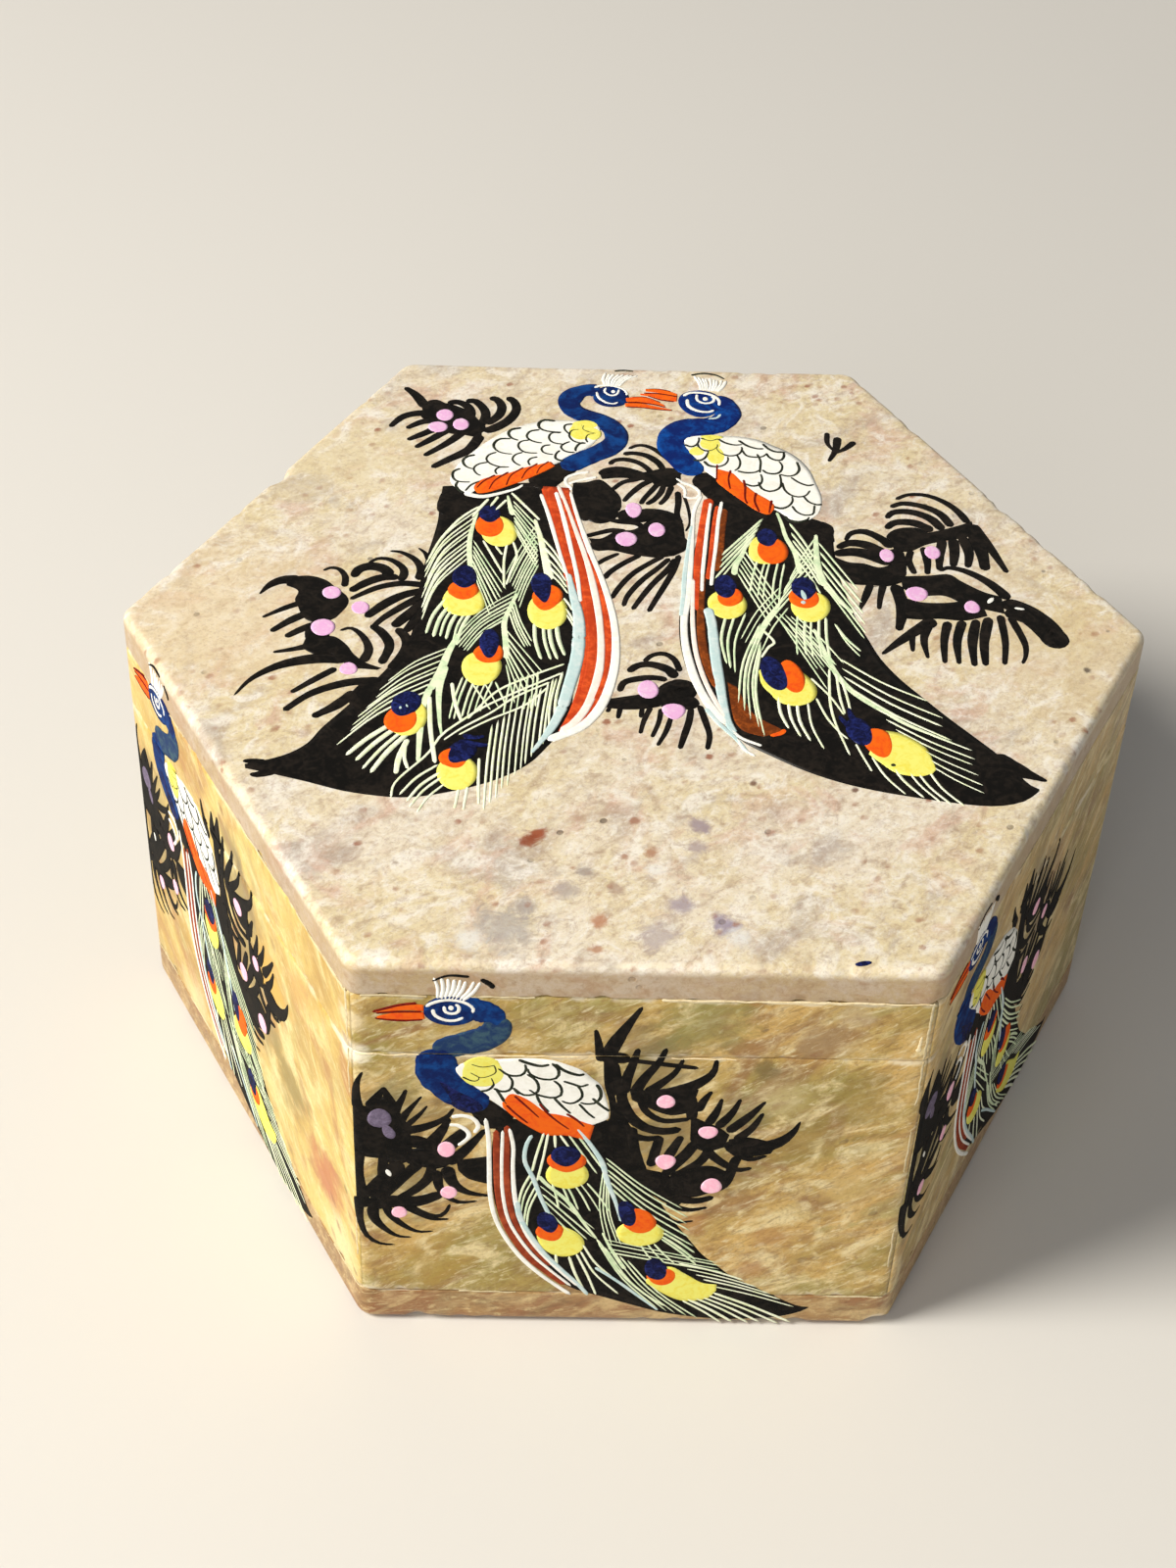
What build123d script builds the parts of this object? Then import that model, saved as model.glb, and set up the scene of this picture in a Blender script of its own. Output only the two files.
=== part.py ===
"""Hexagonal soapstone trinket box: sawn slabs and mitred strips glued into a box with a lift-off lid.

The body is a base slab under six wall panels, with six thin slips glued inside the panels.
The slips stand proud of the panels and guide the lid. The lid is a top slab over six rim strips.
The hexagon is hand cut, so its back side is a little shorter than its front side.
Sizes are in millimetres. The origin is at the centre of the underside, +Z is up and the front faces -Y.
"""

from build123d import *
import math
import os

# Plan of the box, over its outer faces before the corners are rounded
front_side = 52.0
back_side = 50.0
across_corners = 102.6
across_flats = 93.0
side_corner_y = 0.9  # how far the left and right corners lie behind the centre

# Slabs and panels, from the bottom up
base_thickness = 4.8
wall_height = 34.9
rim_height = 7.5
lid_slab_thickness = 4.1
wall_thickness = 4.6
rim_thickness = 4.1

# Slips inside the walls, which guide the lid
slip_thickness = 2.4
slip_height = 9.0
slip_proud = 3.2  # height above the top of the walls

# Ground and worn edges
corner_radius = 1.9
lid_arris_radius = 0.8
base_arris_radius = 1.2
seam_chamfer = 0.25
slip_lead_in = 0.5

# Levels worked out from the sizes above
wall_foot = base_thickness
seam_level = wall_foot + wall_height
rim_top = seam_level + rim_height
slip_foot = seam_level + slip_proud - slip_height

SIDES = ("back_right", "back", "back_left", "front_left", "front", "front_right")


def outer_corners():
    """The six corners of the plan, anticlockwise from the right-hand one."""
    half_width = across_corners / 2
    half_depth = across_flats / 2
    return [
        (half_width, side_corner_y),
        (back_side / 2, half_depth),
        (-back_side / 2, half_depth),
        (-half_width, side_corner_y),
        (-front_side / 2, -half_depth),
        (front_side / 2, -half_depth),
    ]


def inset_corners(distance):
    """The corners of the plan with every side moved inwards by the distance."""
    corners = outer_corners()
    lines = []
    for (x0, y0), (x1, y1) in zip(corners, corners[1:] + corners[:1]):
        length = math.hypot(x1 - x0, y1 - y0)
        inward_x, inward_y = -(y1 - y0) / length, (x1 - x0) / length
        lines.append((inward_x, inward_y, inward_x * x0 + inward_y * y0 + distance))
    moved = []
    for (a0, b0, c0), (a1, b1, c1) in zip(lines[-1:] + lines[:-1], lines):
        cross = a0 * b1 - a1 * b0
        moved.append(((c0 * b1 - c1 * b0) / cross, (a0 * c1 - a1 * c0) / cross))
    return moved


def prism(corners, foot, height):
    """An upright prism over a polygon."""
    return extrude(Plane.XY.offset(foot) * make_face(Polyline(*corners, close=True)), height)


def rounded_prism(foot, height):
    """An upright prism over the whole plan, with its upright corners ground round."""
    block = prism(outer_corners(), foot, height)
    return fillet(block.edges().filter_by(Axis.Z), corner_radius)


def rim_edges(block, level):
    """The edges of a block that lie in the horizontal plane at a level."""
    return block.edges().filter_by_position(Axis.Z, level, level)


def mitred_ring(block, outer_inset, thickness, foot, height):
    """Cuts a block into six strips that meet in mitres, one for each side, keyed by the side's name."""
    outer = inset_corners(outer_inset)
    inner = inset_corners(outer_inset + thickness)
    strips = {}
    for index, side in enumerate(SIDES):
        following = (index + 1) % len(SIDES)
        plan = [outer[index], outer[following], inner[following], inner[index]]
        strips[side] = block & prism(plan, foot, height)
    return strips


def base_slab():
    """The slab that the box stands on, with its lower arris worn round."""
    slab = rounded_prism(0, base_thickness)
    return fillet(rim_edges(slab, 0), base_arris_radius)


def lid_slab():
    """The slab on top of the lid, with its upper arris worn round."""
    slab = rounded_prism(rim_top, lid_slab_thickness)
    return fillet(rim_edges(slab, rim_top + lid_slab_thickness), lid_arris_radius)


def body_walls():
    """Six wall panels, their top outer arris eased at the seam under the lid."""
    block = rounded_prism(wall_foot, wall_height)
    block = chamfer(rim_edges(block, seam_level), seam_chamfer)
    return mitred_ring(block, 0, wall_thickness, wall_foot, wall_height)


def lid_rims():
    """Six rim strips under the lid slab, their lower outer arris eased at the seam."""
    block = rounded_prism(seam_level, rim_height)
    block = chamfer(rim_edges(block, seam_level), seam_chamfer)
    return mitred_ring(block, 0, rim_thickness, seam_level, rim_height)


def guide_slips():
    """Six slips glued inside the walls, with a lead-in for the lid along their top outer edges."""
    block = prism(inset_corners(wall_thickness), slip_foot, slip_height)
    block = chamfer(rim_edges(block, seam_level + slip_proud), slip_lead_in)
    return mitred_ring(block, wall_thickness, slip_thickness, slip_foot, slip_height)


def pieces():
    """Every piece of the box, keyed by its name."""
    named = {"base_slab": base_slab(), "lid_slab": lid_slab()}
    for kind, strips in (("body_wall", body_walls()), ("lid_rim", lid_rims()), ("guide_slip", guide_slips())):
        for side, strip in strips.items():
            named[f"{kind}_{side}"] = strip
    return named


os.makedirs("parts", exist_ok=True)
for name, piece in pieces().items():
    export_step(piece, f"parts/{name}.step")
    print(name, round(piece.volume, 1), "mm3")
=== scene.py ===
import bmesh
import bpy
import numpy as np
from mathutils import Matrix


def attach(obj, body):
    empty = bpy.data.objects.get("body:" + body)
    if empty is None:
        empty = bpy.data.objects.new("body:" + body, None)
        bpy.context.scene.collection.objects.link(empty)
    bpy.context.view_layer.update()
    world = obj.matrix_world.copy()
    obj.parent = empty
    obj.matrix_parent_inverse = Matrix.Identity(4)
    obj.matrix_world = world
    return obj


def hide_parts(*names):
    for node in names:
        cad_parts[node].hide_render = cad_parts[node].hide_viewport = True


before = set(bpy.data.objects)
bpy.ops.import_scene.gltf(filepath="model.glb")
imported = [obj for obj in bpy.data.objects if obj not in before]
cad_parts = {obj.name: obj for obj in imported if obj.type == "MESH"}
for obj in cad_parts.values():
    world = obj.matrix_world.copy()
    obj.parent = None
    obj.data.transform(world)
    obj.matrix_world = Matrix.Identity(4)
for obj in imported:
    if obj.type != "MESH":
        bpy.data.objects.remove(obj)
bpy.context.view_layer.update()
mm = 0.001
print("frame loaded")

# Camera: the place and the axes that bring the box's corners onto the photograph's
cameraSettings = {
    "place": (-0.011405, -0.202784, 0.215831),
    "down": (0.019328, -0.675664, -0.736956),
    "forward": (0.026232, 0.737183, -0.675184),
    "focalPixels": 2675.4,
    "imageHeight": 1600,
    "sensor": 36.0,
    "nearest": 0.01,
}


def turnedTo(x, y, z, place):
    # the matrix that turns a thing's own axes to x, y and z and moves it to its place
    columns = np.eye(4)
    columns[:3] = np.stack([x, y, z, place], 1)
    return Matrix(columns.tolist())


def makeCamera(look):
    # a camera's own axes point right, up and backwards
    forward = np.array(look["forward"]) / np.linalg.norm(look["forward"])
    right = np.cross(forward, -np.array(look["down"]))
    right /= np.linalg.norm(right)
    camera = bpy.data.objects.new("camera", bpy.data.cameras.new("camera"))
    camera.matrix_world = turnedTo(right, np.cross(right, forward), -forward, look["place"])
    camera.data.sensor_width = look["sensor"]
    camera.data.lens = look["focalPixels"] / look["imageHeight"] * look["sensor"]
    camera.data.clip_start = look["nearest"]
    bpy.context.scene.collection.objects.link(camera)
    bpy.context.scene.camera = camera


makeCamera(cameraSettings)
print("camera placed")


# Shader maths
class Wire:
    # a socket that takes part in sums: each operator adds one Math node
    def __init__(self, recipe, socket):
        self.recipe, self.socket = recipe, socket

    def math(self, kind, first, second):
        return self.recipe.add("ShaderNodeMath", {"operation": kind}, {0: first, 1: second})

    def __add__(self, other):
        return self.math("ADD", self, other)

    def __sub__(self, other):
        return self.math("SUBTRACT", self, other)

    def __rsub__(self, other):
        return self.math("SUBTRACT", other, self)

    def __mul__(self, other):
        return self.math("MULTIPLY", self, other)

    def band(self, low, high):
        # 0 at low, 1 at high, eased between them
        return self.recipe.add(
            "ShaderNodeMapRange", {"interpolation_type": "SMOOTHSTEP"},
            {"Value": self, "From Min": low, "From Max": high})


class Recipe:
    # one material, or the world, and its nodes
    def __init__(self, name, world=None):
        self.material = world or bpy.data.materials.new(name)
        self.material.use_nodes = True
        self.tree = self.material.node_tree
        self.tree.nodes.clear()

    def add(self, kind, settings=None, sockets=None, out=None):
        node = self.tree.nodes.new(kind)
        for key, value in (settings or {}).items():
            setattr(node, key, value)
        for key, value in (sockets or {}).items():
            socket = node.inputs[key] if isinstance(key, int) else next(
                s for s in node.inputs if s.name == key and s.enabled)
            if isinstance(value, Wire):
                self.tree.links.new(value.socket, socket)
            elif socket.type == "RGBA":
                socket.default_value = (*value, 1.0)
            else:
                socket.default_value = value
        return Wire(self, next((s for s in node.outputs if s.enabled and out in (None, s.name)), None))

    def mix(self, share, first, second):
        return self.add("ShaderNodeMix", {"data_type": "RGBA"}, {"Factor": share, "A": first, "B": second})

    def noise(self, where, size, detail=3.0, rough=0.5, bend=0.0):
        # size is the length of one lump in millimetres
        return self.add("ShaderNodeTexNoise", None, {
            "Vector": where, "Scale": 1.0 / (size * mm), "Detail": detail, "Roughness": rough,
            "Distortion": bend})

    def backdrop(self, lit, share, colour):
        # a plain colour in place of the lit surface for eyes and reflections, never as light on the object
        rays = ("Is Camera Ray", "Is Glossy Ray", "Is Transmission Ray")
        seen = [self.add("ShaderNodeLightPath", out=ray) for ray in rays]
        plain = self.add("ShaderNodeEmission", None, {"Color": colour, "Strength": 1.0})
        share = (seen[0] + seen[1] + seen[2]).band(0.0, 1.0) * share
        return self.add("ShaderNodeMixShader", None, {0: share, 1: lit, 2: plain})

    def finish(self, surface):
        self.add("ShaderNodeOutputMaterial", None, {"Surface": surface})
        return self.material


def tint(text):
    # a screen colour such as d6c6a0 as the plain light values that the shader takes
    parts = np.array([int(text[i:i + 2], 16) for i in (0, 2, 4)]) / 255
    curved = ((parts + 0.055) / 1.055) ** 2.4
    return tuple(float(v) for v in np.where(parts <= 0.04045, parts / 12.92, curved))


# Soapstone: cloudy zones, mottles, short slanting streaks, specks and pits mixed one over the other.
# Sizes and the depth of the relief are in millimetres, leans in degrees, shifts in metres
anyStone = {
    "fibreSize": 0.55, "grainSize": 0.35, "pitSize": 3.1, "pitZone": 5.0, "pit": "4f3e2c", "worn": "e1d6bc",
    "sawn": "ae9f81", "sawSize": 0.55, "sawStretch": 40.0, "sawLean": (0.0, 4.0, 0.0),
}
creamStone = {
    **anyStone, "base": "e1d5bf", "cloud": "dbcba3", "cloudSize": 15.0,
    "patch": "cfad98", "patchSize": 6.0, "patchBand": (0.50, 0.70),
    "cool": "b1a7a1", "coolSize": 6.5, "coolBand": (0.50, 0.70), "veil": "ece6da", "veilSize": 4.5,
    "light": "f0ebe2", "dark": "9f846f", "streakSize": 0.75, "stretch": 1.3, "lean": (0.0, 0.0, 42.0),
    "mottle": 0.6, "streak": 0.5, "fibre": 0.25, "speck": "905438", "speckSize": 1.7, "speckShare": 0.80,
    "pitShare": 0.72, "rough": 0.42, "depth": 0.14, "edge": "9a7644", "edgeTop": 50.9,
    "shift": (0.013, 0.021, 0.008),
}
oliveStone = {
    **anyStone, "base": "d1ab62", "cloud": "9c8a40", "cloudSize": 12.0,
    "patch": "93683d", "patchSize": 6.5, "patchBand": (0.50, 0.66),
    "cool": "a99e64", "coolSize": 6.0, "coolBand": (0.52, 0.68), "veil": "ecd9a4", "veilSize": 4.6,
    "light": "e7dab1", "dark": "7e5a29", "streakSize": 1.3, "stretch": 2.4, "lean": (0.0, -34.0, 0.0),
    "mottle": 0.4, "streak": 0.4, "fibre": 0.6, "speck": "81512d", "speckSize": 2.4, "speckShare": 0.90,
    "pitShare": 0.93, "rough": 0.38, "depth": 0.11, "shift": (0.031, 0.0, 0.017),
}
# A lighter, yellower copy of the olive stone: partly the stone's own honey tone and partly painted light,
# made as bright as the front left wall looks where the light falls on it
honeyStone = dict(
    oliveStone, base="d8bb62", cloud="bc963f", patch="b27a40", cool="c0b370", veil="e7d390", light="eadca9",
    dark="a8813c", lean=(0.0, 48.0, 0.0), cloudSize=13.0, fibre=0.35, shift=(0.071, 0.0, 0.047))
tanStone = dict(
    oliveStone, base="aa8552", cloud="957040", patch="935f38", cool="96825a", veil="ceb27e", light="dac592",
    dark="74502e", stretch=2.6, lean=(0.0, -12.0, 0.0), shift=(0.007, 0.055, 0.029))
# Single marks in the lid slab's top: x, y and radius in millimetres, colour, strength
lidMarks = (
    (-42, 0, 15, "dac397", 0.5), (42, -2, 13, "d4bf93", 0.5), (-30, 28, 10, "d8c79a", 0.4),
    (-9.6, -30, 0.8, "924523", 0.95), (-10.5, -30.9, 0.85, "863d1d", 0.95),
    (-0.7, -28, 0.6, "9b6c54", 0.85), (0.6, -32.2, 0.95, "a57456", 0.85), (5.1, -28.5, 1.4, "998990", 0.9),
    (4.8, -31.3, 1.3, "a69698", 0.8), (-12.6, -42, 3.2, "a8a19c", 0.75), (-10.8, -39.4, 1.7, "9e9592", 0.8),
    (-7, -37.2, 1.5, "a69a95", 0.75), (-5.4, -34.8, 1, "968a83", 0.8), (3.3, -38.8, 1.3, "9f929c", 0.8),
    (1, -42.6, 2.2, "ada1a3", 0.7), (6.8, -41.2, 1.6, "92879e", 0.85), (-4.2, -41, 1, "b07756", 0.8),
    (-4.4, -44.4, 0.8, "aa7252", 0.7), (-2.6, -37, 0.9, "a58b7c", 0.7), (-22.4, -34.1, 0.6, "816347", 0.8),
    (11.6, -29.3, 0.6, "9f7163", 0.6), (10.4, -22.6, 0.55, "684534", 0.9),
    (19.9, -23.2, 0.5, "644134", 0.9), (8.1, -42.8, 1.4, "dedcd8", 0.8), (-15.4, -43.4, 1.5, "e2e0da", 0.8),
    (1, -34.4, 1.1, "e4e1da", 0.8), (44.3, -5.2, 0.5, "54473c", 0.9),
)


def soapstone(name, look, azimuth=0.0, sawn=False, marks=()):
    # azimuth turns the pattern to a side; each mark is x, y, z, radius, colour and strength
    r = Recipe(name)
    place = r.add("ShaderNodeTexCoord", out="Object")
    faced = r.add("ShaderNodeMapping", {"vector_type": "POINT"}, {
        "Vector": place, "Rotation": (0.0, 0.0, -azimuth), "Location": look["shift"]})

    def drawnOut(amount, lean=look["lean"]):
        # coordinates in which a pattern is drawn out by the amount along the stone's grain
        return r.add("ShaderNodeMapping", {"vector_type": "TEXTURE"}, {
            "Vector": faced, "Rotation": tuple(np.radians(lean)), "Scale": (amount, 1.0, 1.0)})

    def cells(size):
        # the distance to the nearest of scattered points, this many millimetres apart
        return r.add("ShaderNodeTexVoronoi", {"feature": "F1"}, {
            "Vector": soft, "Scale": 1.0 / (size * mm)}, out="Distance")

    soft = drawnOut(0.6 + 0.5 * look["stretch"])
    clouds = r.noise(soft, look["cloudSize"], 4.0, 0.6, 0.6)
    cool = r.noise(soft, look["coolSize"], 5.0, 0.62, 0.6)
    patches = r.noise(soft, look["patchSize"], 5.0, 0.64, 1.0)
    veils = r.noise(soft, look["veilSize"], 5.0, 0.6, 1.4)
    mottles = r.noise(soft, look["streakSize"] * 1.7, 5.0, 0.7, 0.8)
    streaks = r.noise(drawnOut(look["stretch"]), look["streakSize"], 5.0, 0.66, 0.5)
    fibres = r.noise(drawnOut(1.5 * look["stretch"]), look["fibreSize"], 4.0, 0.62, 0.9)
    grain = r.noise(faced, look["grainSize"], 3.0, 0.65)
    worn = r.add("ShaderNodeAttribute", {"attribute_name": "wear"}, None, out="Fac")

    # each layer is where it shows, from 0 to 1, and its colour
    layers = [
        (cool.band(*look["coolBand"]) * 0.75, look["cool"]),
        (patches.band(*look["patchBand"]) * 0.8, look["patch"]),
        (veils.band(0.50, 0.66) * 0.8, look["veil"]),
        ((0.48 - veils).band(0.0, 0.2) * 0.45, look["dark"]),
        ((0.50 - mottles).band(0.0, 0.22) * look["mottle"], look["dark"]),
        (mottles.band(0.50, 0.72) * look["mottle"], look["light"]),
        (streaks.band(0.50, 0.74) * look["streak"], look["light"]),
        ((0.48 - streaks).band(0.0, 0.22) * look["streak"], look["dark"]),
        (fibres.band(0.54, 0.68) * look["fibre"], look["light"]),
        ((0.46 - fibres).band(0.0, 0.14) * look["fibre"] * 0.8, look["dark"]),
    ]
    for x, y, z, radius, shade, strength in marks:
        away = r.add("ShaderNodeVectorMath", {"operation": "DISTANCE"}, {
            0: place, 1: (x * mm, y * mm, z * mm)}, out="Value")
        away = away * (1.0 / (radius * mm)) + (mottles + veils - 1.0) * 1.6
        layers.append(((1.1 - away).band(0.0, 0.8) * strength, shade))
    chance = r.noise(faced, look["speckSize"] * 1.7, 1.0).band(0.40, look["speckShare"])
    specks = (0.28 - cells(look["speckSize"]) + (grain - 0.5) * 0.3).band(0.0, 0.16) * chance
    pits = (0.12 - cells(look["pitSize"])).band(0.0, 0.05)
    pits = pits * r.noise(faced, look["pitZone"], 1.0).band(0.42, look["pitShare"])
    layers += [(specks * 0.9, look["speck"]), (pits * 0.85, look["pit"]),
               ((0.5 - grain).band(0.0, 0.2) * 0.3, look["dark"])]
    if "edge" in look:
        # the sawn edge of the lid slab runs into a browner vein
        level = r.add("ShaderNodeSeparateXYZ", None, {0: place}, out="Z") * (1.0 / mm)
        below = look["edgeTop"] - level + (mottles - 0.5) * 1.4
        layers.append((below.band(0.0, 0.9) * 0.6, look["edge"]))
    layers.append(((worn + (mottles - 0.5) * 1.2 * worn).band(0.25, 0.9) * 0.75, look["worn"]))
    height = streaks * 0.4 + fibres * (0.6 * look["fibre"]) + grain * 0.15 + mottles * 0.3 - pits * 1.6
    rough = (mottles - 0.5) * 0.3 + look["rough"] + worn * 0.15
    if sawn:
        lines = r.noise(drawnOut(look["sawStretch"], look["sawLean"]), look["sawSize"], 2.0, 0.7)
        layers.append((lines.band(0.35, 0.7) * 0.3, look["sawn"]))
        height = height + lines * 0.9
        rough = rough + 0.22

    colour = r.mix(clouds.band(0.38, 0.62), tint(look["base"]), tint(look["cloud"]))
    for share, shade in layers:
        colour = r.mix(share, colour, tint(shade))
    relief = r.add("ShaderNodeBump", None, {
        "Strength": 0.6, "Distance": look["depth"] * mm, "Height": height})
    body = r.add("ShaderNodeBsdfPrincipled", None, {
        "Base Color": colour, "Roughness": rough, "Normal": relief, "Subsurface Weight": 0.08,
        "Subsurface Radius": (1.0, 0.7, 0.35), "Subsurface Scale": 0.8 * mm, "Specular IOR Level": 0.4})
    return r.finish(body)


# Plan of the box: the corners of the sawn hexagon in millimetres, anticlockwise from the right
planSettings = {
    "corners": ((51.3, 0.9), (25, 46.5), (-25, 46.5), (-51.3, 0.9), (-26, -46.5), (26, -46.5)),
    "sides": ("back_right", "back", "back_left", "front_left", "front", "front_right"),
    "cornerRadius": 1.9, "cornerSteps": 10,
}
# Heights of the joints, and how thick the strips are
levels = {"baseTop": 4.8, "slipFoot": 33.9, "seam": 39.7, "slipTop": 42.9, "rimTop": 47.2, "top": 51.3}
thickness = {"wall": 4.6, "rim": 4.1, "slip": 2.4}
corners = np.array(planSettings["corners"], float)
sideNames = planSettings["sides"]


def insetCorners(distance):
    # each corner moves in along the bisector of its two sides, so that every side moves in by the distance
    ahead = np.roll(corners, -1, 0) - corners
    ahead /= np.linalg.norm(ahead, axis=1)[:, None]
    inward = np.stack([-ahead[:, 1], ahead[:, 0]], 1)
    before = np.roll(inward, 1, 0)
    return corners + distance * (inward + before) / (1 + np.sum(inward * before, 1))[:, None]


def alongSide(k, distance, share):
    # points on side k of the hexagon moved in by the distance; share runs from 0 to 1 along it
    ends = insetCorners(distance)
    return ends[k] * (1 - share[:, None]) + ends[(k + 1) % 6] * share[:, None]


def roundedOutline(radius, steps):
    # straight sides joined by arcs about the corners of the hexagon moved in by the radius, with the
    # outward direction at each point and the distance travelled from the middle of the first arc
    centres = insetCorners(radius)
    ahead = np.roll(corners, -1, 0) - corners
    outward = np.arctan2(-ahead[:, 0], ahead[:, 1])
    places, angles = [], []
    for k in range(6):
        first, last = outward[k - 1], outward[k]
        last += 2 * np.pi * np.round((first - last) / (2 * np.pi))
        turn = np.linspace(first, last, 2 * steps + 1)
        places.append(centres[k] + radius * np.stack([np.cos(turn), np.sin(turn)], 1))
        angles.append(turn)
    places, angles = np.roll(np.vstack(places), -steps, 0), np.unwrap(np.roll(np.hstack(angles), -steps))
    places, angles = np.vstack([places, places[:1]]), np.append(angles, angles[0] + 2 * np.pi)
    lengths = np.append(0, np.cumsum(np.hypot(*np.diff(places, axis=0).T)))
    return places, angles, lengths


outlinePlaces, outlineAngles, outlineLengths = roundedOutline(
    planSettings["cornerRadius"], planSettings["cornerSteps"])
perimeter = outlineLengths[-1]
print("outline", round(perimeter, 2), "mm")


def outlineAt(distance):
    # the point and the outward direction of the box's outline at a distance travelled round it
    lap = np.floor(np.asarray(distance) / perimeter)
    distance = distance - lap * perimeter
    place = np.stack([np.interp(distance, outlineLengths, outlinePlaces[:, i]) for i in (0, 1)], -1)
    angle = np.interp(distance, outlineLengths, outlineAngles)
    return place, np.stack([np.cos(angle), np.sin(angle)], -1)


# How far round the outline the corners and the middles of the sides lie, and half of each side's length
cornerPoints = 2 * planSettings["cornerSteps"] + 1
middleOfCorner = [outlineLengths[cornerPoints * k] for k in range(6)] + [perimeter]
middleOfSide = [(middleOfCorner[k] + middleOfCorner[k + 1]) / 2 for k in range(6)]
halfSide = [(middleOfCorner[k + 1] - middleOfCorner[k]) / 2 for k in range(6)]


def lumps(points, size, seed, cells=24, start=240.37):
    # random numbers on a cubic lattice, eased between the eight nearest, from -1 to 1
    table = np.random.default_rng(seed).random((cells, cells, cells))
    q = points / size + start
    low = np.floor(q).astype(int)
    part = q - low
    part = part * part * (3 - 2 * part)
    total = np.zeros(points.shape[:-1])
    for corner in range(8):
        step = np.array([corner & 1, corner >> 1 & 1, corner >> 2 & 1])
        share = np.prod(np.where(step, part, 1 - part), -1)
        total += share * table[tuple(np.moveaxis((low + step) % cells, -1, 0))]
    return total * 2 - 1


# Hand sanding: two slow waves, each its height and length in millimetres and its seed. The lid's top
# stands at most topLimit above its true height
sandingSettings = {"waves": ((0.07, 15.0, 3), (0.03, 5.5, 4)), "topLimit": 0.06}


def sanding(points):
    # how far the surface lies off the true one, in millimetres
    return sum(height * lumps(points, size, seed) for height, size, seed in sandingSettings["waves"])


def bites(points, spots):
    # each spot pushes the surface in by its depth times (1 - (distance / radius) squared) squared
    push = np.zeros(len(points))
    for x, y, z, radius, depth in spots:
        near = np.clip(1 - np.sum((points - (x, y, z)) ** 2, 1) / radius ** 2, 0, 1)
        push = np.maximum(push, depth * near ** 2)
    return push


def edgeChips(rng, first, last, z, count, look):
    # chips along the outline between two distances, at one height
    where, _ = outlineAt(rng.uniform(first, last, count))
    radii = rng.uniform(*look["radius"], count) ** look["power"]
    return [(x, y, z, radius, look["depth"] * radius) for (x, y), radius in zip(where, radii)]


def makePiece(name, points, faces, materials, body, wear=None, kinds=None, flat=None):
    # faces is a list of arrays, one row of corner numbers per face
    mesh = bpy.data.meshes.new(name)
    counts = np.concatenate([np.full(len(f), f.shape[1]) for f in faces])
    loops = np.concatenate([f.ravel() for f in faces]).astype(np.int32)
    mesh.vertices.add(len(points))
    mesh.vertices.foreach_set("co", (points * mm).astype(np.float32).ravel())
    mesh.loops.add(len(loops))
    mesh.loops.foreach_set("vertex_index", loops)
    mesh.polygons.add(len(counts))
    mesh.polygons.foreach_set("loop_start", np.concatenate([[0], np.cumsum(counts)[:-1]]).astype(np.int32))
    mesh.polygons.foreach_set("use_smooth", np.ones(len(counts), bool) if flat is None else ~flat)
    if kinds is not None:
        mesh.polygons.foreach_set("material_index", kinds.astype(np.int32))
    mesh.update(calc_edges=True)
    if wear is not None:
        mesh.attributes.new("wear", "FLOAT", "POINT").data.foreach_set("value", wear.astype(np.float32))
    for material in materials:
        mesh.materials.append(material)
    piece = bpy.data.objects.new(name, mesh)
    bpy.context.scene.collection.objects.link(piece)
    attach(piece, body)
    return piece


def gridFaces(rows, columns):
    # quads between neighbouring rows of a grid, its columns closed round
    i, j = np.meshgrid(np.arange(rows - 1), np.arange(columns), indexing="ij")
    k = (j + 1) % columns
    quads = [i * columns + j, i * columns + k, (i + 1) * columns + k, (i + 1) * columns + j]
    return np.stack(quads, -1).reshape(-1, 4)


# Slabs: the outline carried up a profile, and each flat filled by shrinking it towards the middle.
# The counts in flatRings and chips are for the foot and the top
slabSettings = {
    "lid_slab": {
        "foot": levels["rimTop"], "top": levels["top"], "footRound": 0.25, "topRound": 0.85,
        "flatRings": (14, 62), "body": "lid", "slot": "soapstone_top", "look": creamStone,
        "marks": lidMarks, "chips": (26, 70), "seed": 11},
    "base_slab": {
        "foot": 0.0, "top": levels["baseTop"], "footRound": 1.2, "topRound": 0.25,
        "flatRings": (16, 30), "body": "body", "slot": "soapstone_base", "look": tanStone, "marks": (),
        "chips": (90, 26), "seed": 12},
}
slabMesh = {"around": 620, "arcRows": 7, "edgeRows": 11, "footCrowd": 0.8, "topCrowd": 0.9}
slabWear = {"foot": 0.35, "footRows": 5, "top": 0.5, "topRows": 4, "lumps": 2.0, "seed": 21}
slabChips = {"radius": (0.5, 1.15), "power": 1.5, "depth": 0.22}
# Larger chips seen in the photograph: x, y, z, radius, depth in millimetres
knownChips = {
    "lid_slab": (
        (-38.2, 24.6, 51.3, 2.2, 0.8), (39.4, 21.9, 51.3, 1.8, 0.35), (43.6, 15.4, 51.3, 1.5, 0.4),
        (-26.2, -46.4, 51.3, 1.4, 0.25), (26.1, -46.3, 47.2, 1.2, 0.3)),
    "base_slab": (
        (-20.5, -46.5, 0.4, 1.3, 0.5), (14.2, -46.5, 0.6, 1.4, 0.5), (-13.6, -46.5, 0, 1, 0.4),
        (17, -46.5, 0, 1.5, 0.5), (25.2, -46.4, 0.6, 1.7, 0.6), (5, -46.5, 0.2, 0.9, 0.4)),
}


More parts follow.
